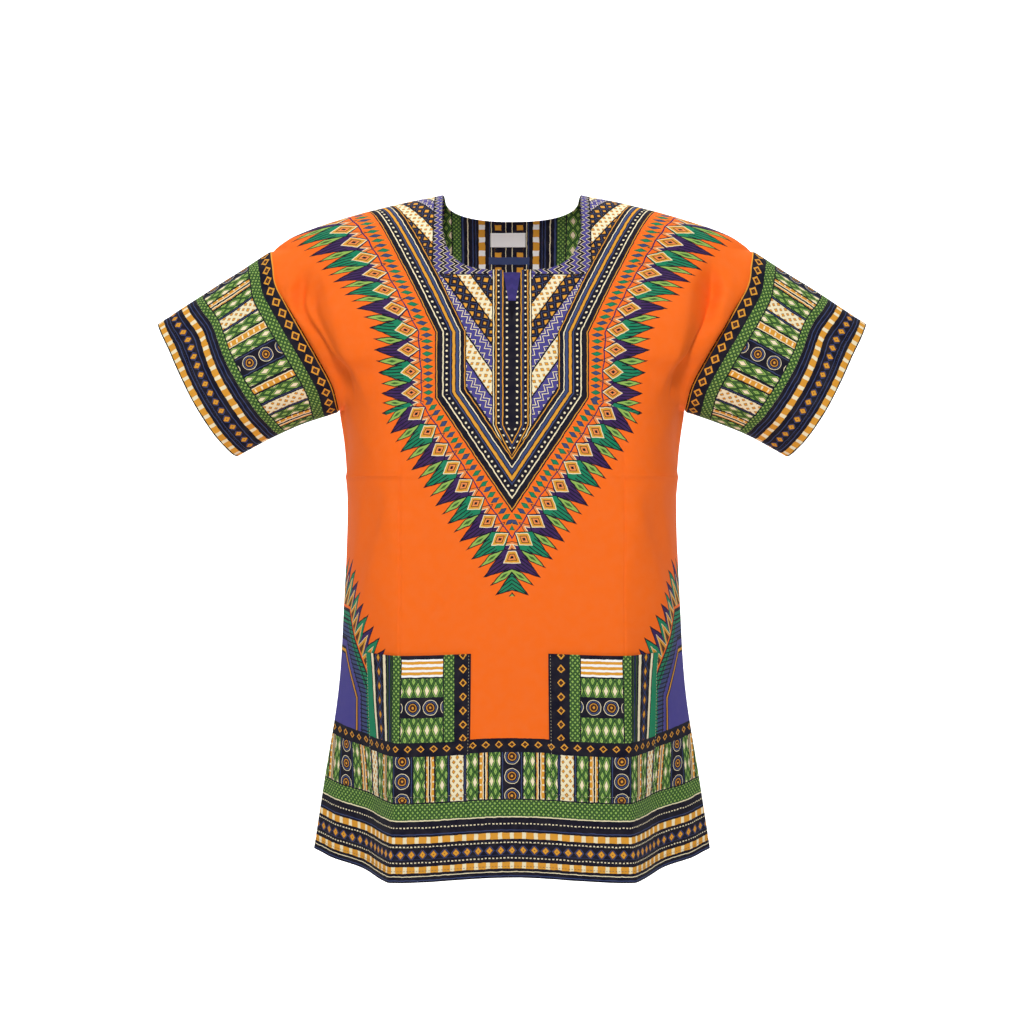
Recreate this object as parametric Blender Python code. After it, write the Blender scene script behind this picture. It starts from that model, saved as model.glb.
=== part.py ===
"""Dashiki shirt, filled out as worn but hollow: front, back, two sleeves, two patch pockets,
a back-neck facing and a blank neck label. Metres, +Z up, the front faces -Y, and the origin is
midway between the two neck points, on the line of the shoulder seams."""

import functools
import math

import bmesh
import bpy
from mathutils import Vector

# Cloth and seams.
CLOTH = 0.0016
FACING_CLOTH = 0.0010
LABEL_CLOTH = 0.0010
SEAM_GAP = 0.0003
LAY_GAP = 0.0004
SLEEVE_GAP = 0.00045

# Grid of a body panel: rows from hem to armpit and from armpit to shoulder, columns on each half.
LOWER_ROWS = 14
UPPER_ROWS = 14
HALF_COLUMNS = 18
TOP_ROW = LOWER_ROWS + UPPER_ROWS
CREASE_U = 8 / HALF_COLUMNS
NECK_U = 7 / HALF_COLUMNS

# Torso up to the armpits, a row for each section: height of the side seam, half width, place of
# the pressed front corner, depth of front and back, and how round each side is (0 flat, 1 round, under 0 hollow).
# The last row only leads the curve on past the armpits.
SECTION_COLUMNS = ("side_z", "half_width", "corner_x", "front_y", "back_y", "round_front", "round_back")
SECTIONS = (
    (-0.7418, 0.2260, 0.1335, 0.127, 0.121, -0.30, 0.35),
    (-0.6600, 0.2135, 0.1275, 0.125, 0.117, -0.15, 0.45),
    (-0.5600, 0.1980, 0.1235, 0.120, 0.110, 0.20, 0.60),
    (-0.4600, 0.1915, 0.122, 0.115, 0.099, 0.55, 0.80),
    (-0.3700, 0.1875, 0.122, 0.113, 0.095, 0.80, 0.95),
    (-0.3000, 0.1892, 0.121, 0.115, 0.101, 0.95, 1.00),
    (-0.2464, 0.1966, 0.120, 0.117, 0.104, 1.00, 1.00),
    (-0.1930, 0.2080, 0.120, 0.116, 0.103, 1.00, 1.00),
)
HEM_Z = SECTIONS[0][0]
ARMPIT_Z = SECTIONS[-2][0]
MIDDLE_BULGE = 0.007

# How far the hem hangs below its height at the side seam.
HEM_DROP = {"front": {"middle": 0.0086, "corner": 0.0158}, "back": {"middle": 0.0110, "corner": 0.0130}}

# Shoulder and neck. The neckline is a superellipse from neck point to neck point, and from chest
# to shoulder seam the cloth's depth is another, rounder where its power is higher.
NECK_HALF_WIDTH = 0.0775
NECK_DROP = {"front": 0.0965, "back": 0.0215}
NECK_SQUARENESS = {"front": 3.8, "back": 2.3}
SHOULDER_ROUNDNESS = {"front": 1.85, "back": 2.5}

# Shoulder seam from neck point to tip: distance from the middle, height.
SHOULDER = (
    (0.0775, 0.0000),
    (0.1360, -0.0122),
    (0.1990, -0.0292),
    (0.2470, -0.0468),
    (0.2730, -0.0635),
)
TIP = SHOULDER[-1]

# Slit at the middle of the front neckline.
SLIT_ROWS = 6
SLIT_HALF_WIDTH = 0.0098

# Armhole seam from armpit to shoulder tip: height, distance from the middle.
ARMHOLE = (
    (-0.2464, 0.1966),
    (-0.2200, 0.2020),
    (-0.1900, 0.2170),
    (-0.1600, 0.2340),
    (-0.1300, 0.2510),
    (-0.1050, 0.2640),
    (-0.0820, 0.2685),
    (-0.0635, 0.2730),
)
ARMHOLE_DEPTH = 0.048

# Sleeve.
CUFF_TOP = (0.4017, -0.1460)
CUFF_BOTTOM = (0.3120, -0.2965)
CUFF_DEPTH = 0.044
CUFF_SWING = 0.0058
UNDERARM_RISE = 0.0045
SLEEVE_RINGS = 8
SLEEVE_SPOKES = 2 * UPPER_ROWS

# Soft folds of the body, a row for each: panel, start and end of its line as seen from the front,
# half width, height out of the cloth (a trough is negative).
FOLD_COLUMNS = ("panel", "x0", "z0", "x1", "z1", "half_width", "height")
FOLDS = (
    ("front", -0.248, -0.085, -0.212, -0.230, 0.013, -0.0060),
    ("front", -0.226, -0.070, -0.190, -0.215, 0.014, 0.0045),
    ("front", -0.203, -0.095, -0.176, -0.200, 0.010, -0.0030),
    ("front", 0.244, -0.088, 0.210, -0.225, 0.013, -0.0055),
    ("front", 0.224, -0.075, 0.188, -0.220, 0.014, 0.0045),
    ("front", -0.172, -0.800, -0.158, -0.580, 0.020, -0.0070),
    ("front", 0.176, -0.800, 0.160, -0.590, 0.019, -0.0065),
    ("front", -0.206, -0.800, -0.192, -0.620, 0.014, 0.0045),
    ("front", 0.206, -0.800, 0.192, -0.630, 0.014, 0.0045),
    ("front", -0.165, -0.330, -0.120, -0.470, 0.018, -0.0030),
    ("front", 0.168, -0.340, 0.128, -0.470, 0.017, -0.0028),
    ("back", -0.232, -0.090, -0.150, -0.260, 0.016, -0.0060),
    ("back", 0.230, -0.090, 0.156, -0.250, 0.016, -0.0060),
    ("back", -0.060, -0.820, -0.050, -0.420, 0.026, 0.0080),
    ("back", 0.072, -0.820, 0.056, -0.460, 0.024, 0.0075),
    ("back", 0.004, -0.820, 0.002, -0.520, 0.022, -0.0070),
    ("back", -0.150, -0.820, -0.128, -0.560, 0.022, -0.0080),
    ("back", 0.152, -0.820, 0.130, -0.580, 0.022, -0.0080),
)

# Folds of the sleeves, which run from armhole to cuff: side, angle from the top round the front,
# half width as an angle, height.
SLEEVE_FOLD_COLUMNS = ("side", "angle", "half_angle", "height")
SLEEVE_FOLDS = (
    (-1, 0.95, 0.26, -0.0060),
    (-1, 1.75, 0.30, 0.0050),
    (1, 1.05, 0.26, -0.0055),
    (1, 1.85, 0.30, 0.0045),
    (-1, 4.60, 0.35, -0.0070),
    (1, 4.55, 0.35, -0.0065),
    (-1, 2.60, 0.22, -0.0040),
    (1, 2.65, 0.22, -0.0040),
)

# Patch pockets: inner edge from the middle, share of the side that they reach round,
# and their bottom and top as shares of the way from hem to armpit.
POCKET_INNER_X = {"left": 0.0444, "right": 0.0392}
POCKET_SIDE_SHARE = 0.43
POCKET_BOTTOM = 0.175
POCKET_TOP = 0.475

# Facing inside the back neck, and the label sewn on it.
FACING_ROWS = 6
LABEL_MIDDLE_X = -0.0047
LABEL_SIZE = (0.0413, 0.0153)
LABEL_TOP_Z = -0.0325

# Colours, roughness.
PRINTED_ORANGE = ((0.93, 0.19, 0.02, 1.0), 0.75)
PRINTED_GREEN = ((0.10, 0.19, 0.06, 1.0), 0.75)
LABEL_WHITE = ((0.85, 0.85, 0.85, 1.0), 0.60)

COLLECTION_NAME = "dashiki_shirt"
FACE_SIGN = {"front": -1.0, "back": 1.0}


def named(columns, row):
    """A table's row as a dictionary by column name."""
    return dict(zip(columns, row))


def mix(a, b, share):
    return a + (b - a) * share


def ease(low, high, value):
    """0 below low, 1 above high, smooth between them."""
    t = min(1.0, max(0.0, (value - low) / (high - low)))
    return t * t * (3 - 2 * t)


def through(keys, values, at):
    """A smooth curve through the table's points, with the slope of its neighbours at each."""
    last = len(keys) - 1
    at = min(max(at, keys[0]), keys[last])
    i = max(k for k in range(last) if keys[k] <= at)

    def slope(k):
        low, high = max(k - 1, 0), min(k + 1, last)
        return (values[high] - values[low]) / (keys[high] - keys[low])

    step = keys[i + 1] - keys[i]
    t = (at - keys[i]) / step
    return (
        (2 * t**3 - 3 * t**2 + 1) * values[i]
        + (t**3 - 2 * t**2 + t) * step * slope(i)
        + (3 * t**2 - 2 * t**3) * values[i + 1]
        + (t**3 - t**2) * step * slope(i + 1)
    )


def section_at(share):
    """The torso's section at a share of the way from hem to armpit."""
    z = mix(HEM_Z, ARMPIT_Z, share)
    keys = [row[0] for row in SECTIONS]
    columns = zip(*SECTIONS)
    return {name: through(keys, values, z) for name, values in zip(SECTION_COLUMNS, columns)}


def section_point(panel, u, section):
    """x and depth of a torso section: a nearly flat middle, a corner, and a side that turns back."""
    depth = section[panel + "_y"]
    corner_x = section["corner_x"]
    side = math.copysign(1.0, u)
    u = abs(u)
    if u <= CREASE_U:
        k = u / CREASE_U
        return side * corner_x * k, depth + MIDDLE_BULGE * (1 - k * k)
    s = (u - CREASE_U) / (1 - CREASE_U)
    turn = s * math.pi / 2
    roundness = section["round_" + panel]
    reach = section["half_width"] - corner_x
    x = corner_x + reach * mix(s, math.sin(turn), roundness)
    y = depth * mix(1 - s, math.cos(turn), roundness)
    return side * x, y


def hem_drop(panel, u):
    """How far a row hangs below its side seam at the hem."""
    drop = HEM_DROP[panel]
    u = abs(u)
    if u <= CREASE_U:
        return mix(drop["middle"], drop["corner"], ease(0.0, CREASE_U, u))
    return drop["corner"] * (1 - ((u - CREASE_U) / (1 - CREASE_U)) ** 1.9)


def shoulder_z(x):
    """Height of the shoulder seam's line, level between the neck points."""
    return through([row[0] for row in SHOULDER], [row[1] for row in SHOULDER], abs(x))


def armhole_x(z):
    return through([row[0] for row in ARMHOLE], [row[1] for row in ARMHOLE], z)


ARMPIT_SECTION = section_at(1.0)


def profile_at(panel, v):
    """Share of its middle depth that the torso has at the armpit: v is 0 in the middle, 1 at the side."""
    x = v * ARMPIT_SECTION["half_width"]
    corner_x = ARMPIT_SECTION["corner_x"]
    middle = section_point(panel, 0.0, ARMPIT_SECTION)[1]
    if x <= corner_x:
        return section_point(panel, CREASE_U * x / corner_x, ARMPIT_SECTION)[1] / middle
    turn = math.asin(min(1.0, (x - corner_x) / (ARMPIT_SECTION["half_width"] - corner_x)))
    u = CREASE_U + (1 - CREASE_U) * turn / (math.pi / 2)
    return section_point(panel, u, ARMPIT_SECTION)[1] / middle


def upper_depth(panel, x, z):
    """Depth of the cloth above the armpits, at a place seen from the front."""
    x = abs(x)
    v = min(1.0, x / armhole_x(z))
    rise = z - ARMPIT_Z
    by_shoulder = min(1.0, max(0.0, rise / (shoulder_z(x) - ARMPIT_Z)))
    by_tip = min(1.0, max(0.0, rise / (TIP[1] - ARMPIT_Z)))
    t = mix(by_shoulder, by_tip, v**8)
    power = SHOULDER_ROUNDNESS[panel]
    weight = max(0.0, 1 - t**power) ** (1 / power)
    rise = max(0.0, t * (1 - t))
    full = max(v**60, ease(0.3, 0.6, t))
    at_armhole = ARMHOLE_DEPTH * mix(6 * rise**1.3, 2 * math.sqrt(rise), full)
    profile = mix(profile_at(panel, v), 1 - ease(0.2, 1.0, v), ease(0.0, 0.8, t))
    near_armhole = ease(mix(0.86, 0.25, ease(0.0, 0.5, t)), 1.0, v)
    middle = section_point(panel, 0.0, ARMPIT_SECTION)[1] * weight
    return middle * profile + at_armhole * near_armhole


def neckline(panel, k):
    """A point of the neckline seen from the front: k is 0 at its middle and 1 at the neck point."""
    power = 2 / NECK_SQUARENESS[panel]
    samples = 64
    curve = []
    for i in range(samples + 1):
        turn = math.pi / 2 * i / samples
        x = NECK_HALF_WIDTH * math.sin(turn) ** power
        z = -NECK_DROP[panel] * max(0.0, math.cos(turn)) ** power
        curve.append(Vector((x, z)))
    lengths = [0.0]
    for a, b in zip(curve, curve[1:]):
        lengths.append(lengths[-1] + (b - a).length)
    want = k * lengths[-1]
    i = max(n for n in range(samples) if lengths[n] <= want)
    share = (want - lengths[i]) / (lengths[i + 1] - lengths[i])
    return curve[i].lerp(curve[i + 1], min(1.0, share))


NECKLINES = {
    panel: [neckline(panel, i / 400) for i in range(401)]
    for panel in ("front", "back")
}


def top_edge(panel, u):
    """A panel's top edge seen from the front: the neckline, then the shoulder seam out to its tip."""
    side = math.copysign(1.0, u)
    u = abs(u)
    if u <= NECK_U:
        at = 400 * u / NECK_U
        i = min(399, int(at))
        x, z = NECKLINES[panel][i].lerp(NECKLINES[panel][i + 1], at - i)
        return side * x, z
    x = mix(NECK_HALF_WIDTH, TIP[0], (u - NECK_U) / (1 - NECK_U))
    return side * x, shoulder_z(x)


def body_base(panel, u, row):
    """The smooth form of a panel, before its folds: u is -1 to 1 across, row counts up from the hem."""
    u = min(1.0, max(-1.0, u))
    row = min(float(TOP_ROW), max(0.0, row))
    sign = FACE_SIGN[panel]
    seam = sign * SEAM_GAP / 2
    if row <= LOWER_ROWS:
        share = row / LOWER_ROWS
        section = section_at(share)
        x, y = section_point(panel, u, section)
        z = section["side_z"] - hem_drop(panel, u) * (1 - share)
        return Vector((x, sign * y + seam, z))
    tau = (1 - math.cos(math.pi * (row - LOWER_ROWS) / UPPER_ROWS)) / 2
    x0 = section_point(panel, u, ARMPIT_SECTION)[0]
    top_x, top_z = top_edge(panel, u)
    z = mix(ARMPIT_Z, top_z, tau)
    edge_z = mix(ARMPIT_Z, TIP[1], tau)
    edge_shift = armhole_x(edge_z) - mix(ARMPIT_SECTION["half_width"], TIP[0], tau)
    x = mix(x0, top_x, tau) + math.copysign(abs(u) ** 3, u) * edge_shift
    if abs(u) == 1.0:
        y = ARMHOLE_DEPTH * 2 * math.sqrt(max(0.0, tau * (1 - tau)))
    else:
        y = upper_depth(panel, x, z)
    return Vector((x, sign * y + seam, z))


def normal_of(surface, a, b, a_step, b_step, outward):
    """The unit normal of surface(a, b), turned so that it points the way of outward."""
    along = surface(a + a_step, b) - surface(a - a_step, b)
    up = surface(a, b + b_step) - surface(a, b - b_step)
    normal = along.cross(up).normalized()
    return normal if normal.dot(outward) > 0 else -normal


def body_normal(panel, u, row):
    base = body_base(panel, 0.0, row)
    here = body_base(panel, u, row)
    outward = Vector((here.x, here.y - 0.3 * base.y, 0.25 * max(0.0, here.z - ARMPIT_Z)))
    return normal_of(lambda a, b: body_base(panel, a, b), u, row, 0.02, 0.3, outward)


def sleeve_ring(side, angle, share):
    """The smooth form of a sleeve: angle 0 is the top, a quarter turn the front; share 0 is the armhole."""
    angle = angle % (2 * math.pi)
    tau = (1 + math.cos(angle)) / 2
    edge_z = mix(ARMPIT_Z, TIP[1], tau)
    armhole = Vector((armhole_x(edge_z), -ARMHOLE_DEPTH * math.sin(angle), edge_z))
    cuff = Vector(
        (
            mix(CUFF_BOTTOM[0], CUFF_TOP[0], tau),
            -CUFF_DEPTH * math.sin(angle),
            mix(CUFF_BOTTOM[1], CUFF_TOP[1], tau),
        )
    )
    share = min(1.0, max(0.0, share))
    p = armhole.lerp(cuff, share)
    p.y *= 1 + 0.10 * math.sin(math.pi * share)
    p.z += UNDERARM_RISE * (1 - tau) ** 2 * math.sin(math.pi * share)
    axis = Vector((CUFF_TOP[0] + CUFF_BOTTOM[0] - TIP[0] - ARMHOLE[0][1], 0, 0))
    axis.z = CUFF_TOP[1] + CUFF_BOTTOM[1] - TIP[1] - ARMPIT_Z
    front = math.sin(angle) * (1.0 if math.sin(angle) > 0 else 0.3)
    swing = CUFF_SWING * front * (1 - 0.85 * math.cos(angle)) * share**2
    p += axis.normalized() * (SLEEVE_GAP + swing)
    return Vector((side * p.x, p.y, p.z))


def sleeve_normal(side, angle, share):
    middle = (sleeve_ring(side, 0.0, share) + sleeve_ring(side, math.pi, share)) / 2
    outward = sleeve_ring(side, angle, share) - middle
    return normal_of(lambda a, b: sleeve_ring(side, a, b), angle, share, 0.05, 0.06, outward)


def armhole_mitre(side, angle):
    """The way the wall goes in at an armhole seam, which body and sleeve share."""
    tau = (1 + math.cos(angle)) / 2
    row = LOWER_ROWS + UPPER_ROWS * (1 - math.acos(2 * tau - 1) / math.pi)
    panel = "front" if math.sin(angle) >= 0 else "back"
    body = body_normal(panel, side * 0.97, row)
    sleeve = sleeve_normal(side, angle, 0.05)
    mitre = (body + sleeve) / max(0.5, 1 + body.dot(sleeve))
    if abs(math.sin(angle)) < 1e-6:
        mitre.y = 0.0
    return mitre


def fold_height(panel, x, z):
    """The sum of the folds at a place of the panel, seen from the front."""
    height = 0.0
    for row in FOLDS:
        fold = named(FOLD_COLUMNS, row)
        if fold["panel"] != panel:
            continue
        start = Vector((fold["x0"], fold["z0"]))
        line = Vector((fold["x1"], fold["z1"])) - start
        away = Vector((x, z)) - start
        t = away.dot(line) / line.length_squared
        if not -0.2 < t < 1.2:
            continue
        across = (away - line * t).length / fold["half_width"]
        ends = ease(-0.2, 0.3, t) * (1 - ease(0.6, 1.2, t))
        height += fold["height"] * ends * math.exp(-across * across)
    return height


def body_outer(panel, u, row):
    p = body_base(panel, u, row)
    fade = (1 - abs(u) ** 12) * (1 - ease(TOP_ROW - 3, TOP_ROW, row))
    return p + body_normal(panel, u, row) * fold_height(panel, p.x, p.z) * fade


def seam_direction(panel, u, row, drop_y):
    """The panel's normal turned into the seam's plane and lengthened, so that the wall keeps its thickness."""
    normal = body_normal(panel, u, row)
    flat = Vector((normal.x, 0.0 if drop_y else normal.y, normal.z)).normalized()
    return flat / max(0.55, flat.dot(normal))


def wall_direction(panel, u, row):
    """From a panel's outer face outwards, as long as a wall of unit thickness needs."""
    at_side = abs(u) > 1 - 1e-6
    at_top = row > TOP_ROW - 1e-6
    if at_side and row >= LOWER_ROWS:
        tau = (1 - math.cos(math.pi * (row - LOWER_ROWS) / UPPER_ROWS)) / 2
        angle = math.acos(max(-1.0, min(1.0, 2 * tau - 1)))
        if panel == "back":
            angle = 2 * math.pi - angle
        if abs(tau - round(tau)) < 1e-9:
            angle = 0.0 if tau > 0.5 else math.pi
        return armhole_mitre(math.copysign(1.0, u), angle)
    if at_side or (at_top and abs(u) > NECK_U - 1e-6):
        return seam_direction(panel, u, row, True)
    return body_normal(panel, u, row)


def sleeve_outer(side, angle, share):
    p = sleeve_ring(side, angle, share)
    height = 0.0
    for row in SLEEVE_FOLDS:
        fold = named(SLEEVE_FOLD_COLUMNS, row)
        if fold["side"] == side:
            across = (angle % (2 * math.pi) - fold["angle"]) / fold["half_angle"]
            height += fold["height"] * math.exp(-across * across)
    reach = ease(0.0, 0.45, share) * mix(1.0, 0.6, ease(0.6, 1.0, share))
    return p + sleeve_normal(side, angle, share) * height * reach


def cloth_material(name, finish):
    colour, roughness = finish
    material = bpy.data.materials.new(name)
    material.use_nodes = True
    shader = material.node_tree.nodes["Principled BSDF"]
    shader.inputs["Base Color"].default_value = colour
    shader.inputs["Roughness"].default_value = roughness
    shader.inputs["Metallic"].default_value = 0.0
    return material


def finished(name, bm, material, collection):
    """Makes the bmesh an object of the shirt, with smooth faces and its normals pointing out."""
    bmesh.ops.remove_doubles(bm, verts=bm.verts, dist=1e-7)
    bmesh.ops.recalc_face_normals(bm, faces=bm.faces)
    if bm.calc_volume(signed=True) < 0:
        bmesh.ops.reverse_faces(bm, faces=bm.faces)
    mesh = bpy.data.meshes.new(name)
    bm.to_mesh(mesh)
    bm.free()
    mesh.materials.append(material)
    mesh.shade_smooth()
    mesh.set_sharp_from_angle(angle=math.radians(50))
    obj = bpy.data.objects.new(name, mesh)
    collection.objects.link(obj)
    return obj


def cloth_grid(columns, rows):
    """A flat grid of triangles whose points know their column and row."""
    bm = bmesh.new()
    bmesh.ops.create_grid(bm, x_segments=columns, y_segments=rows, size=1.0)
    bmesh.ops.triangulate(bm, faces=bm.faces[:], quad_method="FIXED")
    column_layer = bm.verts.layers.int.new("column")
    row_layer = bm.verts.layers.int.new("row")
    for vert in bm.verts:
        vert[column_layer] = round((vert.co.x + 1) / 2 * columns)
        vert[row_layer] = round((vert.co.y + 1) / 2 * rows)
    return bm, column_layer, row_layer


def thickened(bm, outer_of, inner_of):
    """Puts the grid on the outer face, and extrudes it to the inner one.
    Solidify would tilt the walls' edges, so that panels meeting at an angle overlap."""
    for vert in bm.verts:
        vert.co = outer_of(vert)
    grown = bmesh.ops.extrude_face_region(bm, geom=bm.faces[:], use_keep_orig=True)
    inner = [part for part in grown["geom"] if isinstance(part, bmesh.types.BMVert)]
    places = [inner_of(vert) for vert in inner]
    for vert, place in zip(inner, places):
        vert.co = place
    return bm


def slit_opening(bm, column_layer, row_layer):
    """Parts the middle column above the slit's foot, and marks which lip each point is on."""
    foot = TOP_ROW - SLIT_ROWS
    edges = [
        edge
        for edge in bm.edges
        if all(v[column_layer] == HALF_COLUMNS and v[row_layer] >= foot for v in edge.verts)
    ]
    bmesh.ops.split_edges(bm, edges=edges)
    lip_layer = bm.verts.layers.int.new("lip")
    for vert in bm.verts:
        if vert[column_layer] == HALF_COLUMNS and vert[row_layer] > foot:
            middle = sum(face.calc_center_median().x for face in vert.link_faces)
            vert[lip_layer] = 1 if middle > 0 else -1
    return lip_layer


def body_panel(panel, material, collection):
    bm, column_layer, row_layer = cloth_grid(2 * HALF_COLUMNS, TOP_ROW)
    lip_layer = slit_opening(bm, column_layer, row_layer) if panel == "front" else None
    foot = TOP_ROW - SLIT_ROWS

    def place(vert):
        return vert[column_layer] / HALF_COLUMNS - 1, float(vert[row_layer])

    def lip_shift(vert):
        if lip_layer is None or not vert[lip_layer]:
            return Vector((0, 0, 0))
        share = (body_base(panel, 0, vert[row_layer]).z - body_base(panel, 0, foot).z) / (
            body_base(panel, 0, TOP_ROW).z - body_base(panel, 0, foot).z
        )
        return Vector((vert[lip_layer] * SLIT_HALF_WIDTH * share, 0, 0))

    def outer_of(vert):
        u, row = place(vert)
        return body_outer(panel, u, row) + lip_shift(vert)

    def inner_of(vert):
        u, row = place(vert)
        return outer_of(vert) - wall_direction(panel, u, row) * CLOTH

    thickened(bm, outer_of, inner_of)
    return finished("body_" + panel, bm, material, collection)


def sleeve(name, side, material, collection):
    bm = bmesh.new()
    rings = []
    for wall in (0.0, CLOTH):
        for i in range(SLEEVE_RINGS + 1):
            share = i / SLEEVE_RINGS
            ring = []
            for j in range(SLEEVE_SPOKES):
                angle = 2 * math.pi * j / SLEEVE_SPOKES
                direction = armhole_mitre(side, angle) if i == 0 else sleeve_normal(side, angle, share)
                ring.append(bm.verts.new(sleeve_outer(side, angle, share) - direction * wall))
            rings.append(ring)
    outside = rings[: SLEEVE_RINGS + 1]
    inside = rings[SLEEVE_RINGS + 1 :]
    loop = outside + inside[::-1]
    for a, b in zip(loop, loop[1:] + loop[:1]):
        for j in range(SLEEVE_SPOKES):
            k = (j + 1) % SLEEVE_SPOKES
            bm.faces.new((a[j], a[k], b[k], b[j]))
    return finished(name, bm, material, collection)


@functools.lru_cache(maxsize=None)
def grid_point(panel, column, row):
    """A point of the panel's own grid, and the way out of the cloth there."""
    u = column / HALF_COLUMNS
    return body_outer(panel, u, row), wall_direction(panel, u, row)


def on_panel(panel, u, row, height):
    """A point over the panel's flat facets, so that cloth laid on them follows them."""
    column = u * HALF_COLUMNS
    c = min(math.floor(column + 1e-9), HALF_COLUMNS - 1)
    r = min(math.floor(row + 1e-9), TOP_ROW - 1)
    s, t = column - c, row - r
    if s >= t:
        corners = ((c, r, 1 - s), (c + 1, r, s - t), (c + 1, r + 1, t))
    else:
        corners = ((c, r, 1 - t), (c, r + 1, t - s), (c + 1, r + 1, s))
    point = Vector((0.0, 0.0, 0.0))
    for at_column, at_row, share in corners:
        if share > 1e-9:
            base, out = grid_point(panel, at_column, at_row)
            point += (base + out * height) * share
    return point


def lines_between(low, high):
    """The two ends and the panel's whole grid lines between them."""
    inner = range(math.ceil(low + 0.15), math.floor(high - 0.15) + 1)
    return [low, *inner, high]


def laid_piece(name, panel, columns, rows, near, far, material, collection):
    """A piece of cloth on a panel, between two heights over it."""
    bm, column_layer, row_layer = cloth_grid(len(columns) - 1, len(rows) - 1)

    def at_height(vert, height):
        u = columns[vert[column_layer]] / HALF_COLUMNS
        return on_panel(panel, u, rows[vert[row_layer]], height)

    thickened(bm, lambda vert: at_height(vert, far), lambda vert: at_height(vert, near))
    return finished(name, bm, material, collection)


def pocket(name, side, material, collection):
    """A patch pocket, made from the front's own points and moved out."""
    inner = HALF_COLUMNS * CREASE_U * POCKET_INNER_X[name.split("_")[1]] / SECTIONS[2][2]
    outer = HALF_COLUMNS * mix(CREASE_U, 1.0, POCKET_SIDE_SHARE)
    columns = lines_between(inner, outer)
    if side < 0:
        columns = [-column for column in columns[::-1]]
    rows = lines_between(POCKET_BOTTOM * LOWER_ROWS, POCKET_TOP * LOWER_ROWS)
    heights = (LAY_GAP, LAY_GAP + CLOTH)
    return laid_piece(name, "front", columns, rows, *heights, material, collection)


def neck_facing(material, collection):
    """The strip that lies inside the back neck, from neck point to neck point."""
    reach = round(HALF_COLUMNS * NECK_U)
    columns = range(-reach, reach + 1)
    rows = range(TOP_ROW - FACING_ROWS, TOP_ROW + 1)
    heights = (-CLOTH - LAY_GAP, -CLOTH - LAY_GAP - FACING_CLOTH)
    return laid_piece("neck_facing", "back", columns, rows, *heights, material, collection)


def back_point_at(x, z):
    """u and row of the back panel at a place seen from the front, near the neck."""
    u, row = 0.0, TOP_ROW - 4.0
    for _ in range(12):
        p = body_base("back", u, row)
        du = body_base("back", u + 0.01, row) - p
        dr = body_base("back", u, row + 0.05) - p
        det = du.x * dr.z - du.z * dr.x
        u += 0.01 * ((x - p.x) * dr.z - (z - p.z) * dr.x) / det
        row += 0.05 * (du.x * (z - p.z) - du.z * (x - p.x)) / det
    return u, row


def neck_label(material, collection):
    """A small blank label on the facing."""
    columns, rows = 8, 3
    bm, column_layer, row_layer = cloth_grid(columns, rows)
    lie = CLOTH + LAY_GAP + FACING_CLOTH + LAY_GAP

    def at_depth(vert, depth):
        x = LABEL_MIDDLE_X + LABEL_SIZE[0] * (vert[column_layer] / columns - 0.5)
        z = LABEL_TOP_Z - LABEL_SIZE[1] * (1 - vert[row_layer] / rows)
        u, row = back_point_at(x, z)
        return on_panel("back", u, row, -depth)

    thickened(bm, lambda vert: at_depth(vert, lie), lambda vert: at_depth(vert, lie + LABEL_CLOTH))
    return finished("neck_label", bm, material, collection)


def build_shirt():
    for obj in list(bpy.data.objects):
        bpy.data.objects.remove(obj)
    shirt = bpy.data.collections.new(COLLECTION_NAME)
    bpy.context.scene.collection.children.link(shirt)
    orange = cloth_material("printed_orange", PRINTED_ORANGE)
    green = cloth_material("printed_border", PRINTED_GREEN)
    white = cloth_material("label_white", LABEL_WHITE)
    body_panel("front", orange, shirt)
    body_panel("back", orange, shirt)
    sleeve("sleeve_left", -1.0, green, shirt)
    sleeve("sleeve_right", 1.0, green, shirt)
    pocket("pocket_left", -1.0, green, shirt)
    pocket("pocket_right", 1.0, green, shirt)
    neck_facing(green, shirt)
    neck_label(white, shirt)


build_shirt()
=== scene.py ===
# %% [markdown]
# # A dashiki shirt, filled out as worn
# The shirt is a loose pullover of thin printed cotton: a front and a back, two short sleeves, two
# patch pockets, a facing inside the back neck and a small blank label. The CAD solids are loaded
# first as a fixed frame. Every piece of cloth made here lies on the solid that it stands for.

# %% Load the frame
import math

import bmesh
import bpy
import numpy as np
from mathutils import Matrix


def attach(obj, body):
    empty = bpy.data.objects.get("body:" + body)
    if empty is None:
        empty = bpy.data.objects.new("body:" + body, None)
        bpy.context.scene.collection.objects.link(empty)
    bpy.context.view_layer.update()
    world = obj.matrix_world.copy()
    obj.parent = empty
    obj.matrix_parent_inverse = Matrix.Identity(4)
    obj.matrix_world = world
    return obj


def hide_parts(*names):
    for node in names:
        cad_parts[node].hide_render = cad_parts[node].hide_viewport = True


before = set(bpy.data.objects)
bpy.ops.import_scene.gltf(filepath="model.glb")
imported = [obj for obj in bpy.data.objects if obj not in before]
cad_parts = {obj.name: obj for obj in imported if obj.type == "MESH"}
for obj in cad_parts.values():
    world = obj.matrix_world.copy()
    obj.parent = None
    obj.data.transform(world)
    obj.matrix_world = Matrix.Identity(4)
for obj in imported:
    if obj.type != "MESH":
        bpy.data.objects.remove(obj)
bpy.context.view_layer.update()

# %% [markdown]
# ## The shirt's sizes
# A cloth maker works from a pattern and a body. The tables below are the body: the torso's section
# at a few heights, the shoulder seam, the armhole and the cuff. They are the ones that the CAD
# source uses, so the fine cloth made here can't drift away from the solids.

# %% Sizes of the torso, shoulders and sleeves
LOWER_ROWS = 14
UPPER_ROWS = 14
HALF_COLUMNS = 18
TOP_ROW = LOWER_ROWS + UPPER_ROWS
CREASE_U = 8 / HALF_COLUMNS
NECK_U = 7 / HALF_COLUMNS

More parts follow.
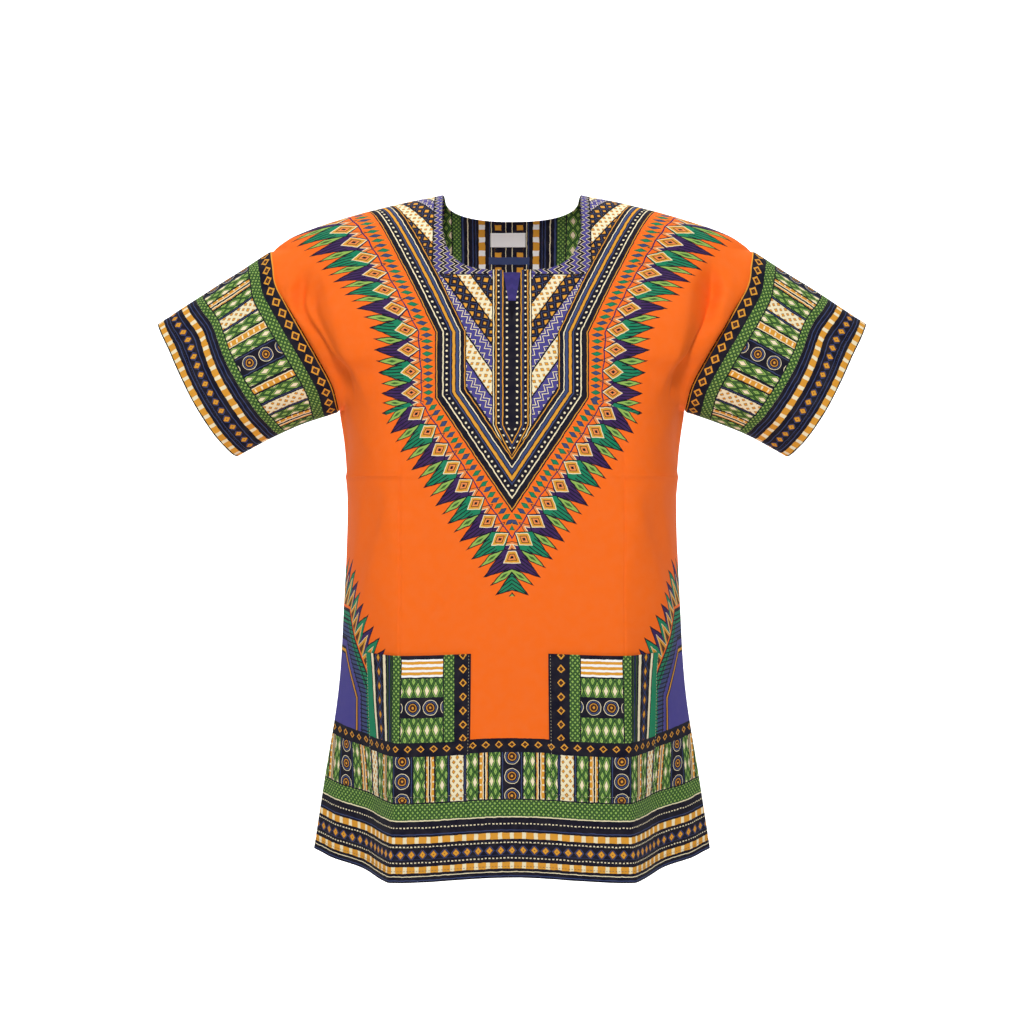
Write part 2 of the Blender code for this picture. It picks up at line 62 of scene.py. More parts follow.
# Height, half width, place of the front corner, depth of front and back, roundness of each side.
SECTIONS = (
    (-0.7418, 0.2260, 0.1335, 0.127, 0.121, -0.30, 0.35),
    (-0.6600, 0.2135, 0.1275, 0.125, 0.117, -0.15, 0.45),
    (-0.5600, 0.1980, 0.1235, 0.120, 0.110, 0.20, 0.60),
    (-0.4600, 0.1915, 0.122, 0.115, 0.099, 0.55, 0.80),
    (-0.3700, 0.1875, 0.122, 0.113, 0.095, 0.80, 0.95),
    (-0.3000, 0.1892, 0.121, 0.115, 0.101, 0.95, 1.00),
    (-0.2464, 0.1966, 0.120, 0.117, 0.104, 1.00, 1.00),
    (-0.1930, 0.2080, 0.120, 0.116, 0.103, 1.00, 1.00),
)
HEM_Z = SECTIONS[0][0]
ARMPIT_Z = SECTIONS[-2][0]
MIDDLE_BULGE = 0.007
HEM_DROP = {"front": (0.0086, 0.0158), "back": (0.0110, 0.0130)}
NECK_HALF_WIDTH = 0.0775
NECK_DROP = {"front": 0.0965, "back": 0.0215}
NECK_SQUARENESS = {"front": 3.8, "back": 2.3}
SHOULDER_ROUNDNESS = {"front": 1.85, "back": 2.5}
SHOULDER = ((0.0775, 0.0), (0.1360, -0.0122), (0.1990, -0.0292), (0.2470, -0.0468), (0.2730, -0.0635))
TIP = SHOULDER[-1]
SLIT_ROWS = 6
SLIT_HALF_WIDTH = 0.0098
ARMHOLE = (
    (-0.2464, 0.1966),
    (-0.2200, 0.2020),
    (-0.1900, 0.2170),
    (-0.1600, 0.2340),
    (-0.1300, 0.2510),
    (-0.1050, 0.2640),
    (-0.0820, 0.2685),
    (-0.0635, 0.2730),
)
ARMHOLE_DEPTH = 0.048
CUFF_TOP = (0.4017, -0.1460)
CUFF_BOTTOM = (0.3120, -0.2965)
CUFF_DEPTH = 0.044
CUFF_SWING = 0.0058
UNDERARM_RISE = 0.0045
SIGN = {"front": -1.0, "back": 1.0}

# Thickness of the cotton, and the air left between layers.
CLOTH = 0.0007
LAYER_GAP = 0.0003

# %% [markdown]
# ## Folds and creases
# Cloth that hangs from the shoulders has three kinds of fold. Large soft ones run down from the
# shoulder tips and the underarms. Pressed creases are left by the way the shirt was folded flat.
# Small wrinkles lie between them. Each is a line with a width and a height, and no two are alike.

# %% Fold tables
# Panel, start and end of the line seen from the front, half width, height (a trough is negative).
FOLDS = (
    ("front", -0.172, -0.800, -0.158, -0.580, 0.020, -0.0070),
    ("front", 0.176, -0.800, 0.160, -0.590, 0.019, -0.0065),
    ("front", -0.206, -0.800, -0.192, -0.620, 0.014, 0.0045),
    ("front", 0.206, -0.800, 0.192, -0.630, 0.014, 0.0045),
    ("front", -0.165, -0.330, -0.120, -0.470, 0.018, -0.0030),
    ("front", 0.168, -0.340, 0.128, -0.470, 0.017, -0.0028),
    ("back", -0.232, -0.090, -0.150, -0.260, 0.016, -0.0060),
    ("back", 0.230, -0.090, 0.156, -0.250, 0.016, -0.0060),
    ("back", -0.060, -0.820, -0.050, -0.420, 0.026, 0.0080),
    ("back", 0.072, -0.820, 0.056, -0.460, 0.024, 0.0075),
    ("back", 0.004, -0.820, 0.002, -0.520, 0.022, -0.0070),
    ("back", -0.150, -0.820, -0.128, -0.560, 0.022, -0.0080),
    ("back", 0.152, -0.820, 0.130, -0.580, 0.022, -0.0080),
)

# Beside each armhole the cloth sinks from an edge down to a fold line, then comes back to the seam:
# side, points (x, z) of the edge and of the fold line from the top down, depth, way back to the seam.
SUNK = (
    (
        -1,
        (
            (0.219, -0.084), (0.212, -0.098), (0.203, -0.121), (0.197, -0.145),
            (0.189, -0.170), (0.180, -0.194), (0.170, -0.225), (0.160, -0.262),
        ),
        (
            (0.226, -0.084), (0.2325, -0.098), (0.239, -0.121), (0.235, -0.146),
            (0.217, -0.170), (0.202, -0.196), (0.190, -0.225), (0.178, -0.262),
        ),
        -0.0170,
        0.0062,
    ),
    (
        1,
        (
            (0.214, -0.074), (0.207, -0.092), (0.197, -0.116), (0.192, -0.140),
            (0.187, -0.163), (0.180, -0.190), (0.170, -0.222), (0.160, -0.258),
        ),
        (
            (0.219, -0.074), (0.224, -0.092), (0.2275, -0.112), (0.222, -0.136),
            (0.2145, -0.160), (0.202, -0.190), (0.190, -0.222), (0.178, -0.258),
        ),
        -0.0195,
        0.0050,
    ),
)
EDGE_SOFTNESS = 0.12
RETURN_Z = (-0.175, -0.135)
LOW_RETURN = 0.016

# Curved folds: panel, points (x, z) from the top down, half width towards the middle and towards the
# side, height.
CURVED_FOLDS = (
    (
        "front",
        (
            (-0.220, -0.090), (-0.231, -0.119), (-0.2265, -0.140), (-0.210, -0.166),
            (-0.195, -0.194), (-0.186, -0.224),
        ),
        0.0040, 0.0032, 0.0024,
    ),
    (
        "front",
        (
            (-0.214, -0.100), (-0.220, -0.128), (-0.212, -0.152), (-0.198, -0.180),
            (-0.187, -0.207),
        ),
        0.0050, 0.0040, -0.0016,
    ),
    ("front", ((0.214, -0.150), (0.200, -0.178), (0.190, -0.205), (0.183, -0.232)), 0.0030, 0.0040, 0.0014),
    (
        "front",
        (
            (-0.131, -0.345), (-0.140, -0.376), (-0.151, -0.420), (-0.160, -0.458),
            (-0.168, -0.500),
        ),
        0.0300, 0.0100, 0.0040,
    ),
    (
        "front",
        (
            (0.131, -0.336), (0.140, -0.368), (0.156, -0.427), (0.165, -0.466),
            (0.172, -0.505),
        ),
        0.0300, 0.0100, 0.0042,
    ),
    (
        "front",
        (
            (-0.172, -0.330), (-0.168, -0.350), (-0.171, -0.385), (-0.178, -0.430),
        ),
        0.0060, 0.0060, 0.0013,
    ),
    ("front", ((0.166, -0.328), (0.170, -0.360), (0.176, -0.400), (0.182, -0.440)), 0.0060, 0.0060, 0.0012),
)

# Height of the front over its smooth form at some heights: the chest, the hollow under it, the waist.
FRONT_PROFILE = (
    (-0.5200, 0.0),
    (-0.4300, -0.0006),
    (-0.3640, -0.0018),
    (-0.3580, -0.0024),
    (-0.3420, -0.0016),
    (-0.3230, 0.0002),
    (-0.3000, -0.0044),
    (-0.2750, -0.0076),
    (-0.2500, -0.0088),
    (-0.2300, -0.0082),
    (-0.2120, -0.0054),
    (-0.2020, -0.0014),
    (-0.1940, 0.0030),
    (-0.1860, 0.0050),
    (-0.1700, 0.0056),
    (-0.1300, 0.0036),
    (-0.0900, 0.0),
)
PROFILE_REACH = (0.070, 0.125)

# Smaller creases that only the fine cloth has.
CREASES = (
    ("front", -0.248, -0.090, -0.238, -0.170, 0.0060, 0.0012),
    ("front", 0.246, -0.092, 0.236, -0.165, 0.0060, 0.0011),
    ("front", -0.186, -0.3200, -0.100, -0.3212, 0.0028, 0.0034),
    ("front", 0.186, -0.3206, 0.098, -0.3200, 0.0028, 0.0034),
    ("front", -0.186, -0.3600, -0.130, -0.3606, 0.0030, 0.0013),
    ("front", -0.066, -0.444, -0.094, -0.477, 0.0030, -0.0018),
    ("front", -0.062, -0.446, -0.089, -0.478, 0.0034, 0.0014),
    ("front", 0.060, -0.400, 0.105, -0.440, 0.0070, 0.0006),
    ("front", -0.182, -0.265, -0.150, -0.300, 0.0060, 0.0014),
    ("front", 0.184, -0.262, 0.150, -0.296, 0.0060, 0.0013),
    ("front", -0.176, -0.420, -0.150, -0.520, 0.0070, 0.0010),
    ("front", 0.172, -0.430, 0.150, -0.540, 0.0070, 0.0010),
    ("front", -0.090, -0.780, -0.078, -0.640, 0.0100, 0.0012),
    ("front", 0.060, -0.780, 0.066, -0.660, 0.0100, 0.0012),
    ("front", 0.010, -0.780, 0.004, -0.680, 0.0120, -0.0011),
    ("front", -0.150, -0.040, -0.120, -0.120, 0.0100, 0.0011),
    ("front", 0.148, -0.040, 0.124, -0.115, 0.0100, 0.0010),
    ("back", -0.188, -0.317, 0.188, -0.320, 0.0030, -0.0015),
    ("back", -0.003, -0.060, 0.002, -0.700, 0.0030, 0.0011),
    ("back", -0.214, -0.100, -0.176, -0.240, 0.0060, 0.0015),
    ("back", 0.212, -0.100, 0.180, -0.236, 0.0060, 0.0014),
    ("back", -0.140, -0.060, -0.070, -0.130, 0.0110, -0.0014),
    ("back", 0.136, -0.062, 0.076, -0.126, 0.0110, -0.0013),
    ("back", -0.100, -0.130, -0.020, -0.165, 0.0120, 0.0012),
    ("back", 0.104, -0.140, 0.030, -0.170, 0.0120, 0.0012),
    ("back", -0.176, -0.400, -0.120, -0.470, 0.0080, 0.0014),
    ("back", 0.172, -0.390, 0.122, -0.450, 0.0080, 0.0013),
    ("back", -0.100, -0.520, -0.092, -0.760, 0.0090, -0.0016),
    ("back", 0.104, -0.540, 0.110, -0.760, 0.0090, -0.0015),
    ("back", 0.034, -0.560, 0.038, -0.760, 0.0080, 0.0014),
)

# Side, angle from the top round the front, half width as an angle, height.
SLEEVE_FOLDS = (
    (-1, 0.95, 0.26, -0.0060),
    (-1, 1.75, 0.30, 0.0050),
    (1, 1.05, 0.26, -0.0055),
    (1, 1.85, 0.30, 0.0045),
    (-1, 4.60, 0.35, -0.0070),
    (1, 4.55, 0.35, -0.0065),
    (-1, 2.60, 0.22, -0.0040),
    (1, 2.65, 0.22, -0.0040),
)

# Side, angle, half width, height, and the share of the sleeve where the crease is deepest.
SLEEVE_CREASES = (
    (-1, 0.55, 0.10, 0.0011, 0.35),
    (-1, 1.30, 0.12, -0.0012, 0.60),
    (-1, 2.10, 0.10, 0.0011, 0.30),
    (-1, 2.45, 0.09, -0.0012, 0.20),
    (-1, 3.60, 0.14, 0.0014, 0.50),
    (-1, 5.30, 0.13, 0.0012, 0.40),
    (1, 0.62, 0.10, 0.0011, 0.40),
    (1, 1.40, 0.12, -0.0012, 0.55),
    (1, 2.15, 0.10, 0.0011, 0.28),
    (1, 2.50, 0.09, -0.0012, 0.22),
    (1, 3.70, 0.14, 0.0014, 0.45),
    (1, 5.20, 0.13, 0.0012, 0.40),
)

# %% [markdown]
# ## Curves through a few heights
# Numpy works on whole grids at once, which keeps a cloth of 30,000 points quick. The forms need a
# blend, a soft step, a smooth curve through a table's points, and two helpers for vectors.

# %% Curves
def mix(a, b, share):
    return a + (b - a) * share


def ease(low, high, value):
    """0 below low, 1 above high, smooth between them."""
    t = np.clip((value - low) / (high - low), 0.0, 1.0)
    return t * t * (3 - 2 * t)


def through(keys, values, at):
    """A smooth curve through the points, with the slope of its neighbours at each."""
    keys = np.asarray(keys, float)
    values = np.asarray(values, float)
    at = np.clip(at, keys[0], keys[-1])
    i = np.clip(np.searchsorted(keys, at, side="right") - 1, 0, len(keys) - 2)
    index = np.arange(len(keys))
    low = np.maximum(index - 1, 0)
    high = np.minimum(index + 1, len(keys) - 1)
    slope = (values[high] - values[low]) / (keys[high] - keys[low])
    step = keys[i + 1] - keys[i]
    t = (at - keys[i]) / step
    start = (2 * t**3 - 3 * t**2 + 1) * values[i] + (t**3 - 2 * t**2 + t) * step * slope[i]
    end = (3 * t**2 - 2 * t**3) * values[i + 1] + (t**3 - t**2) * step * slope[i + 1]
    return start + end


def stacked(x, y, z):
    return np.stack(np.broadcast_arrays(x, y, z), axis=-1).astype(float)


def unit(vectors):
    return vectors / np.maximum(1e-12, np.linalg.norm(vectors, axis=-1, keepdims=True))


# %% [markdown]
# ## The form of the torso
# A place on a panel has two numbers: u runs from -1 to 1 across it, and row counts up from the hem
# to the shoulder. Below the armpits the section is nearly flat in front with a corner at each
# pressed crease. Above them it closes over the shoulders.

# %% The torso
def section_at(share):
    """Side height, half width, corner, front and back depth and roundness, from hem to armpit."""
    columns = list(zip(*SECTIONS))
    z = mix(HEM_Z, ARMPIT_Z, share)
    return [through(columns[0], column, z) for column in columns]


def section_point(panel, u, section):
    """x and depth of a torso section."""
    _, half_width, corner_x, front_y, back_y, round_front, round_back = section
    depth = front_y if panel == "front" else back_y
    roundness = round_front if panel == "front" else round_back
    side = np.where(u < 0, -1.0, 1.0)
    u = np.abs(u)
    k = u / CREASE_U
    s = np.clip((u - CREASE_U) / (1 - CREASE_U), 0.0, 1.0)
    turn = s * math.pi / 2
    x = np.where(k <= 1, corner_x * k, corner_x + (half_width - corner_x) * mix(s, np.sin(turn), roundness))
    y = np.where(k <= 1, depth + MIDDLE_BULGE * (1 - k * k), depth * mix(1 - s, np.cos(turn), roundness))
    return side * x, y


def hem_drop(panel, u):
    middle, corner = HEM_DROP[panel]
    u = np.abs(u)
    s = np.clip((u - CREASE_U) / (1 - CREASE_U), 0.0, 1.0)
    return np.where(u <= CREASE_U, mix(middle, corner, ease(0.0, CREASE_U, u)), corner * (1 - s**1.9))


def shoulder_z(x):
    return through([p[0] for p in SHOULDER], [p[1] for p in SHOULDER], np.abs(x))


def armhole_x(z):
    return through([p[0] for p in ARMHOLE], [p[1] for p in ARMHOLE], z)


ARMPIT_SECTION = section_at(1.0)


def profile_at(panel, v):
    """Share of its middle depth that the torso has at the armpit."""
    half_width, corner_x = ARMPIT_SECTION[1], ARMPIT_SECTION[2]
    x = v * half_width
    turn = np.arcsin(np.clip((x - corner_x) / (half_width - corner_x), 0.0, 1.0))
    u = np.where(x <= corner_x, CREASE_U * x / corner_x, CREASE_U + (1 - CREASE_U) * turn / (math.pi / 2))
    return section_point(panel, u, ARMPIT_SECTION)[1] / section_point(panel, 0.0, ARMPIT_SECTION)[1]


def upper_depth(panel, x, z):
    """Depth of the cloth above the armpits."""
    x = np.abs(x)
    v = np.minimum(1.0, x / armhole_x(z))
    rise = z - ARMPIT_Z
    by_shoulder = np.clip(rise / (shoulder_z(x) - ARMPIT_Z), 0.0, 1.0)
    by_tip = np.clip(rise / (TIP[1] - ARMPIT_Z), 0.0, 1.0)
    t = mix(by_shoulder, by_tip, v**8)
    power = SHOULDER_ROUNDNESS[panel]
    weight = np.maximum(0.0, 1 - t**power) ** (1 / power)
    rise = np.maximum(0.0, t * (1 - t))
    full = np.maximum(v**60, ease(0.3, 0.6, t))
    at_armhole = ARMHOLE_DEPTH * mix(6 * rise**1.3, 2 * np.sqrt(rise), full)
    profile = mix(profile_at(panel, v), 1 - ease(0.2, 1.0, v), ease(0.0, 0.8, t))
    near_armhole = ease(mix(0.86, 0.25, ease(0.0, 0.5, t)), 1.0, v)
    return section_point(panel, 0.0, ARMPIT_SECTION)[1] * weight * profile + at_armhole * near_armhole


def neckline(panel, k):
    """The neckline seen from the front: k is 0 at its middle and 1 at the neck point."""
    power = 2 / NECK_SQUARENESS[panel]
    turn = np.linspace(0.0, math.pi / 2, 65)
    x = NECK_HALF_WIDTH * np.sin(turn) ** power
    z = -NECK_DROP[panel] * np.maximum(0.0, np.cos(turn)) ** power
    lengths = np.concatenate([[0.0], np.cumsum(np.hypot(np.diff(x), np.diff(z)))])
    return np.interp(k * lengths[-1], lengths, x), np.interp(k * lengths[-1], lengths, z)


def body_base(panel, u, row):
    """The smooth form of a panel, before its folds."""
    u = np.clip(u, -1.0, 1.0)
    row = np.clip(row, 0.0, TOP_ROW)
    u, row = np.broadcast_arrays(u, row)
    share = np.minimum(1.0, row / LOWER_ROWS)
    section = section_at(share)
    low_x, low_y = section_point(panel, u, section)
    low_z = section[0] - hem_drop(panel, u) * (1 - share)

    tau = (1 - np.cos(math.pi * np.maximum(0.0, row - LOWER_ROWS) / UPPER_ROWS)) / 2
    start_x = section_point(panel, u, ARMPIT_SECTION)[0]
    across = np.abs(u)
    neck_x, neck_z = neckline(panel, np.minimum(1.0, across / NECK_U))
    seam_x = mix(NECK_HALF_WIDTH, TIP[0], np.clip((across - NECK_U) / (1 - NECK_U), 0.0, 1.0))
    top_x = np.where(across <= NECK_U, neck_x, seam_x) * np.where(u < 0, -1.0, 1.0)
    top_z = np.where(across <= NECK_U, neck_z, shoulder_z(seam_x))
    z = mix(ARMPIT_Z, top_z, tau)
    edge_z = mix(ARMPIT_Z, TIP[1], tau)
    edge_shift = armhole_x(edge_z) - mix(ARMPIT_SECTION[1], TIP[0], tau)
    x = mix(start_x, top_x, tau) + u * u * u * edge_shift
    y = np.where(
        across >= 1.0,
        ARMHOLE_DEPTH * 2 * np.sqrt(np.maximum(0.0, tau * (1 - tau))),
        upper_depth(panel, x, z),
    )
    upper = row > LOWER_ROWS
    return stacked(
        np.where(upper, x, low_x), SIGN[panel] * np.where(upper, y, low_y), np.where(upper, z, low_z)
    )


def normal_of(surface, a, b, a_step, b_step, outward):
    along = surface(a + a_step, b) - surface(a - a_step, b)
    up = surface(a, b + b_step) - surface(a, b - b_step)
    normal = unit(np.cross(along, up))
    facing = np.sum(normal * outward, axis=-1, keepdims=True)
    return np.where(facing > 0, normal, -normal)


def body_normal(panel, u, row):
    here = body_base(panel, u, row)
    middle = body_base(panel, np.zeros_like(here[..., 0]), row)
    lift = 0.25 * np.maximum(0.0, here[..., 2] - ARMPIT_Z)
    outward = stacked(here[..., 0], here[..., 1] - 0.3 * middle[..., 1], lift)
    return normal_of(lambda a, b: body_base(panel, a, b), u, row, 0.02, 0.3, outward)


def line_folds(table, panel, x, z):
    """The sum of the table's folds at a place of the panel, seen from the front."""
    height = np.zeros(np.broadcast(x, z).shape)
    for where, x0, z0, x1, z1, half_width, rise in table:
        if where != panel:
            continue
        dx, dz = x1 - x0, z1 - z0
        long = dx * dx + dz * dz
        t = ((x - x0) * dx + (z - z0) * dz) / long
        across = ((x - x0) * dz - (z - z0) * dx) / math.sqrt(long) / half_width
        ends = ease(-0.2, 0.3, t) * (1 - ease(0.6, 1.2, t))
        height += rise * ends * np.exp(-across * across)
    return height


def curved_folds(table, panel, x, z):
    """The same for folds that curve: the middle of each is a smooth curve x over z."""
    height = np.zeros(np.broadcast(x, z).shape)
    for where, points, inner, outer, rise in table:
        if where != panel:
            continue
        xs, zs = zip(*points[::-1])
        middle = through(zs, xs, z)
        lean = (through(zs, xs, z + 0.003) - through(zs, xs, z - 0.003)) / 0.006
        across = (x - middle) * math.copysign(1.0, xs[0]) / np.sqrt(1 + lean * lean)
        across = across / np.where(across < 0, inner, outer)
        t = (z - zs[0]) / (zs[-1] - zs[0])
        ends = ease(-0.25, 0.3, t) * (1 - ease(0.75, 1.08, t))
        height += rise * ends * np.exp(-across * across)
    return height


def sunk_folds(table, x, z):
    """The sunken cloth beside the armholes."""
    height = np.zeros(np.broadcast(x, z).shape)
    for side, edge_points, fold_points, depth, back in table:
        edge_x, edge_z = zip(*edge_points[::-1])
        fold_x, fold_z = zip(*fold_points[::-1])
        edge = through(edge_z, edge_x, z)
        fold = through(fold_z, fold_x, z)
        out = x * side
        share = (out - edge) / (fold - edge)
        slope = np.sqrt(share * share + EDGE_SOFTNESS**2)
        down = np.clip((share + slope) / (1 + math.sqrt(1 + EDGE_SOFTNESS**2)), 0.0, 1.0)
        back_here = mix(LOW_RETURN, back, ease(*RETURN_Z, z))
        return_way = np.exp(-((np.maximum(0.0, out - fold) / back_here) ** 2))
        ends = ease(edge_z[0], edge_z[2], z) * (1 - ease(edge_z[-3], edge_z[-1], z))
        height += depth * ends * np.where(out < fold, down, return_way) * (out > 0)
    return height


# %% [markdown]
# ## Fine relief of the cloth
# The CAD carries the large folds. The fine cloth adds what only shows up close: the two pressed
# creases down the front, short creases, a slow unevenness, and the dip where a seam pulls the
# cloth in. Every term fades out where it would open a seam.

# %% Relief of the body and its seams
PRESSED_CREASE = ((-0.0010, 0.0062), (-0.0008, 0.0350))
SEAM_DIP = (0.0013, 0.0035)
UNEVENNESS = 0.0005

# About how far a panel reaches to each side, and a sleeve from armhole to cuff, for the seams' dips.
PANEL_HALF_SPAN = 0.24
SLEEVE_SPAN = 0.14


def unevenness(x, z, phase):
    """A slow ripple of long uneven waves."""
    wave = np.sin(61 * x + 23 * z + phase) + np.sin(-37 * x + 74 * z + 2.1 * phase)
    wave = wave + 0.7 * np.sin(113 * x + 51 * z + 3.3 * phase) + 0.5 * np.sin(29 * x - 141 * z + phase)
    return wave / 3.2


def seam_dip(distance):
    depth, reach = SEAM_DIP
    return -depth * np.maximum(0.0, 1 - distance / reach) ** 2


def body_surface(panel, u, row, height=0.0):
    """A panel's outer face with all its folds, raised by height along the cloth's normal."""
    u, row = np.broadcast_arrays(np.asarray(u, float), np.asarray(row, float))
    p = body_base(panel, u, row)
    x, z = p[..., 0], p[..., 2]
    normal = body_normal(panel, u, row)
    side_fade = 1 - np.abs(u) ** 12
    top_fade = 1 - ease(TOP_ROW - 3, TOP_ROW, row)
    relief = line_folds(FOLDS, panel, x, z) * side_fade * top_fade
    pressed = sum(rise * np.exp(-(((np.abs(u) - CREASE_U) / spread) ** 2)) for rise, spread in PRESSED_CREASE)
    pressed = pressed * (1 - ease(10.5, 15.0, row))
    fine = line_folds(CREASES, panel, x, z) + curved_folds(CURVED_FOLDS, panel, x, z) + pressed
    if panel == "front":
        heights, rises = zip(*FRONT_PROFILE)
        fine = fine + through(heights, rises, z) * ease(*PROFILE_REACH, np.abs(x)) + sunk_folds(SUNK, x, z)
    fine = fine + UNEVENNESS * unevenness(x, z, 0.6 if panel == "front" else 2.4)
    relief = relief + fine * (1 - np.abs(u) ** 30) * (1 - ease(TOP_ROW - 1.0, TOP_ROW, row))
    to_side = (1 - np.abs(u)) * PANEL_HALF_SPAN * np.where(row < LOWER_ROWS, 0.75, 0.55)
    relief = relief + seam_dip(to_side)
    over_shoulder = np.abs(u) > NECK_U
    to_top = np.linalg.norm(p - body_base(panel, u, np.full_like(row, TOP_ROW)), axis=-1)
    relief = relief + np.where(over_shoulder, seam_dip(to_top), 0.0)
    return p + normal * (relief + height)[..., None]


check = body_surface("front", np.linspace(-1, 1, 5), np.full(5, 14.0))
print("front at the armpits, x in mm:", np.round(check[:, 0] * 1000, 1))

# %% [markdown]
# ## The form of a sleeve
# A sleeve is a short tube from the armhole to the cuff. Its ring is a flattened oval, the front of
# the cuff swings a little forward, and soft folds run along it.

# %% The sleeves
def sleeve_base(side, angle, share):
    """Angle 0 is the top and a quarter turn the front; share 0 is the armhole."""
    share = np.clip(share, 0.0, 1.0)
    angle, share = np.broadcast_arrays(angle, share)
    tau = (1 + np.cos(angle)) / 2
    edge_z = mix(ARMPIT_Z, TIP[1], tau)
    sine = np.sin(angle)
    x = mix(armhole_x(edge_z), mix(CUFF_BOTTOM[0], CUFF_TOP[0], tau), share)
    y = -mix(ARMHOLE_DEPTH, CUFF_DEPTH, share) * sine * (1 + 0.10 * np.sin(math.pi * share))
    z = mix(edge_z, mix(CUFF_BOTTOM[1], CUFF_TOP[1], tau), share)
    z = z + UNDERARM_RISE * (1 - tau) ** 2 * np.sin(math.pi * share)
    axis_x = CUFF_TOP[0] + CUFF_BOTTOM[0] - TIP[0] - ARMHOLE[0][1]
    axis_z = CUFF_TOP[1] + CUFF_BOTTOM[1] - TIP[1] - ARMPIT_Z
    axis = np.array([axis_x, axis_z])
    axis = axis / np.linalg.norm(axis)
    front = sine * np.where(sine > 0, 1.0, 0.3)
    swing = CUFF_SWING * front * (1 - 0.85 * np.cos(angle)) * share**2
    return stacked(side * (x + axis[0] * swing), y, z + axis[1] * swing)


def sleeve_surface(side, angle, share, height=0.0):
    """A sleeve's outer face with its folds, raised by height."""
    angle, share = np.broadcast_arrays(np.asarray(angle, float), np.asarray(share, float))
    p = sleeve_base(side, angle, share)
    middle = (sleeve_base(side, 0.0, share) + sleeve_base(side, math.pi, share)) / 2
    normal = normal_of(lambda a, b: sleeve_base(side, a, b), angle, share, 0.05, 0.06, p - middle)
    turn = angle % (2 * math.pi)
    relief = np.zeros_like(turn)
    for where, centre, half_angle, rise in SLEEVE_FOLDS:
        if where == side:
            relief += rise * np.exp(-(((turn - centre) / half_angle) ** 2))
    relief = relief * ease(0.0, 0.45, share) * mix(1.0, 0.6, ease(0.6, 1.0, share))
    for where, centre, half_angle, rise, deepest in SLEEVE_CREASES:
        if where == side:
            along = np.exp(-(((share - deepest) / 0.28) ** 2))
            relief += rise * along * np.exp(-(((turn - centre) / half_angle) ** 2))
    uneven = UNEVENNESS * unevenness(p[..., 0] + p[..., 1], p[..., 2], 1.1 + side)
    relief = relief + uneven * ease(0.0, 0.1, share)
    relief = relief + seam_dip(share * SLEEVE_SPAN)
    return p + normal * (relief + height)[..., None]


cuff = sleeve_surface(1, np.linspace(0, 2 * math.pi, 97), np.ones(97))
print("cuff round: %.0f mm" % (1000 * np.linalg.norm(np.diff(cuff, axis=0), axis=-1).sum()))

# %% [markdown]
# ## From a flat grid to hanging cloth
# Cloth starts flat, so it starts here as a flat grid. Each point of the grid is then moved to its
# place on the form. The UV map keeps the flat place in metres, so the print doesn't stretch over
# folds. A second map keeps the distance from the side seam. Solidify gives the wall its thickness.

# %% Making a sheet
def only(*objects):
    """Selects these objects and nothing else."""
    bpy.ops.object.select_all(action="DESELECT")
    for obj in objects:
        obj.select_set(True)
    bpy.context.view_layer.objects.active = objects[0]


def laid_out(name, places, flat, edge):
    """A grid whose points go to places[row, column], with their flat places and edge distances as UV maps."""
    rows, columns = places.shape[:2]
    bpy.ops.object.select_all(action="DESELECT")
    bpy.ops.mesh.primitive_grid_add(x_subdivisions=columns - 1, y_subdivisions=rows - 1, size=2)
    sheet = bpy.context.object
    sheet.name = name
    sheet.data.name = name
    mesh = sheet.data
    co = np.empty(len(mesh.vertices) * 3)
    mesh.vertices.foreach_get("co", co)
    co = co.reshape(-1, 3)
    i = np.rint((co[:, 0] + 1) / 2 * (columns - 1)).astype(int)
    j = np.rint((co[:, 1] + 1) / 2 * (rows - 1)).astype(int)
    mesh.vertices.foreach_set("co", places[j, i].ravel())
    corners = np.empty(len(mesh.loops), dtype=np.int32)
    mesh.loops.foreach_get("vertex_index", corners)
    while mesh.uv_layers:
        mesh.uv_layers.remove(mesh.uv_layers[0])
    for layer_name, values in (("cloth", flat), ("edge", edge)):
        layer = mesh.uv_layers.new(name=layer_name)
        layer.uv.foreach_set("vector", values[j, i][corners].astype(np.float32).ravel())
    mesh.update()
    return sheet


def joined(name, *parts, merge=1e-6):
    """One sheet from several, with the points that meet merged."""
    only(*parts)
    bpy.ops.object.join()
    sheet = bpy.context.object
    sheet.name = name
    sheet.data.name = name
    bpy.ops.object.mode_set(mode="EDIT")
    bpy.ops.mesh.select_all(action="SELECT")
    bpy.ops.mesh.remove_doubles(threshold=merge)
    bpy.ops.object.mode_set(mode="OBJECT")
    return sheet


def facing_out(sheet, outward):
    """Turns the faces over if they look the wrong way. outward(centre) is a rough way out."""
    mesh = sheet.data
    total = 0.0
    for face in list(mesh.polygons)[::97]:
        total += face.normal.dot(outward(face.center)) * face.area
    if total < 0:
        mesh.flip_normals()


def walled(sheet, thickness=CLOTH):
    """Gives the sheet its thickness, inwards, and smooths it."""
    only(sheet)
    wall = sheet.modifiers.new("wall", "SOLIDIFY")
    wall.thickness = thickness
    wall.offset = -1
    wall.use_rim = True
    bpy.ops.object.modifier_apply(modifier=wall.name)
    bpy.ops.object.shade_smooth_by_angle(angle=math.radians(60))
    print(sheet.name, len(sheet.data.polygons), "faces")
    return sheet


def crowded(low, high, count, *crowds):
    """Values from low to high, closer together near some places: (place, reach, how much) each."""
    even = np.linspace(low, high, 4001)
    weight = 1.0 + sum(extra * np.exp(-(((even - place) / reach) ** 2)) for place, reach, extra in crowds)
    total = np.concatenate([[0.0], np.cumsum((weight[1:] + weight[:-1]) / 2)])
    return np.interp(np.linspace(0, total[-1], count), total, even)


def length_along(points, axis):
    """Running length of the cloth along one way of the grid."""
    steps = np.linalg.norm(np.diff(points, axis=axis), axis=-1)
    zero = np.zeros_like(np.take(steps, [0], axis=axis))
    return np.concatenate([zero, np.cumsum(steps, axis=axis)], axis=axis)


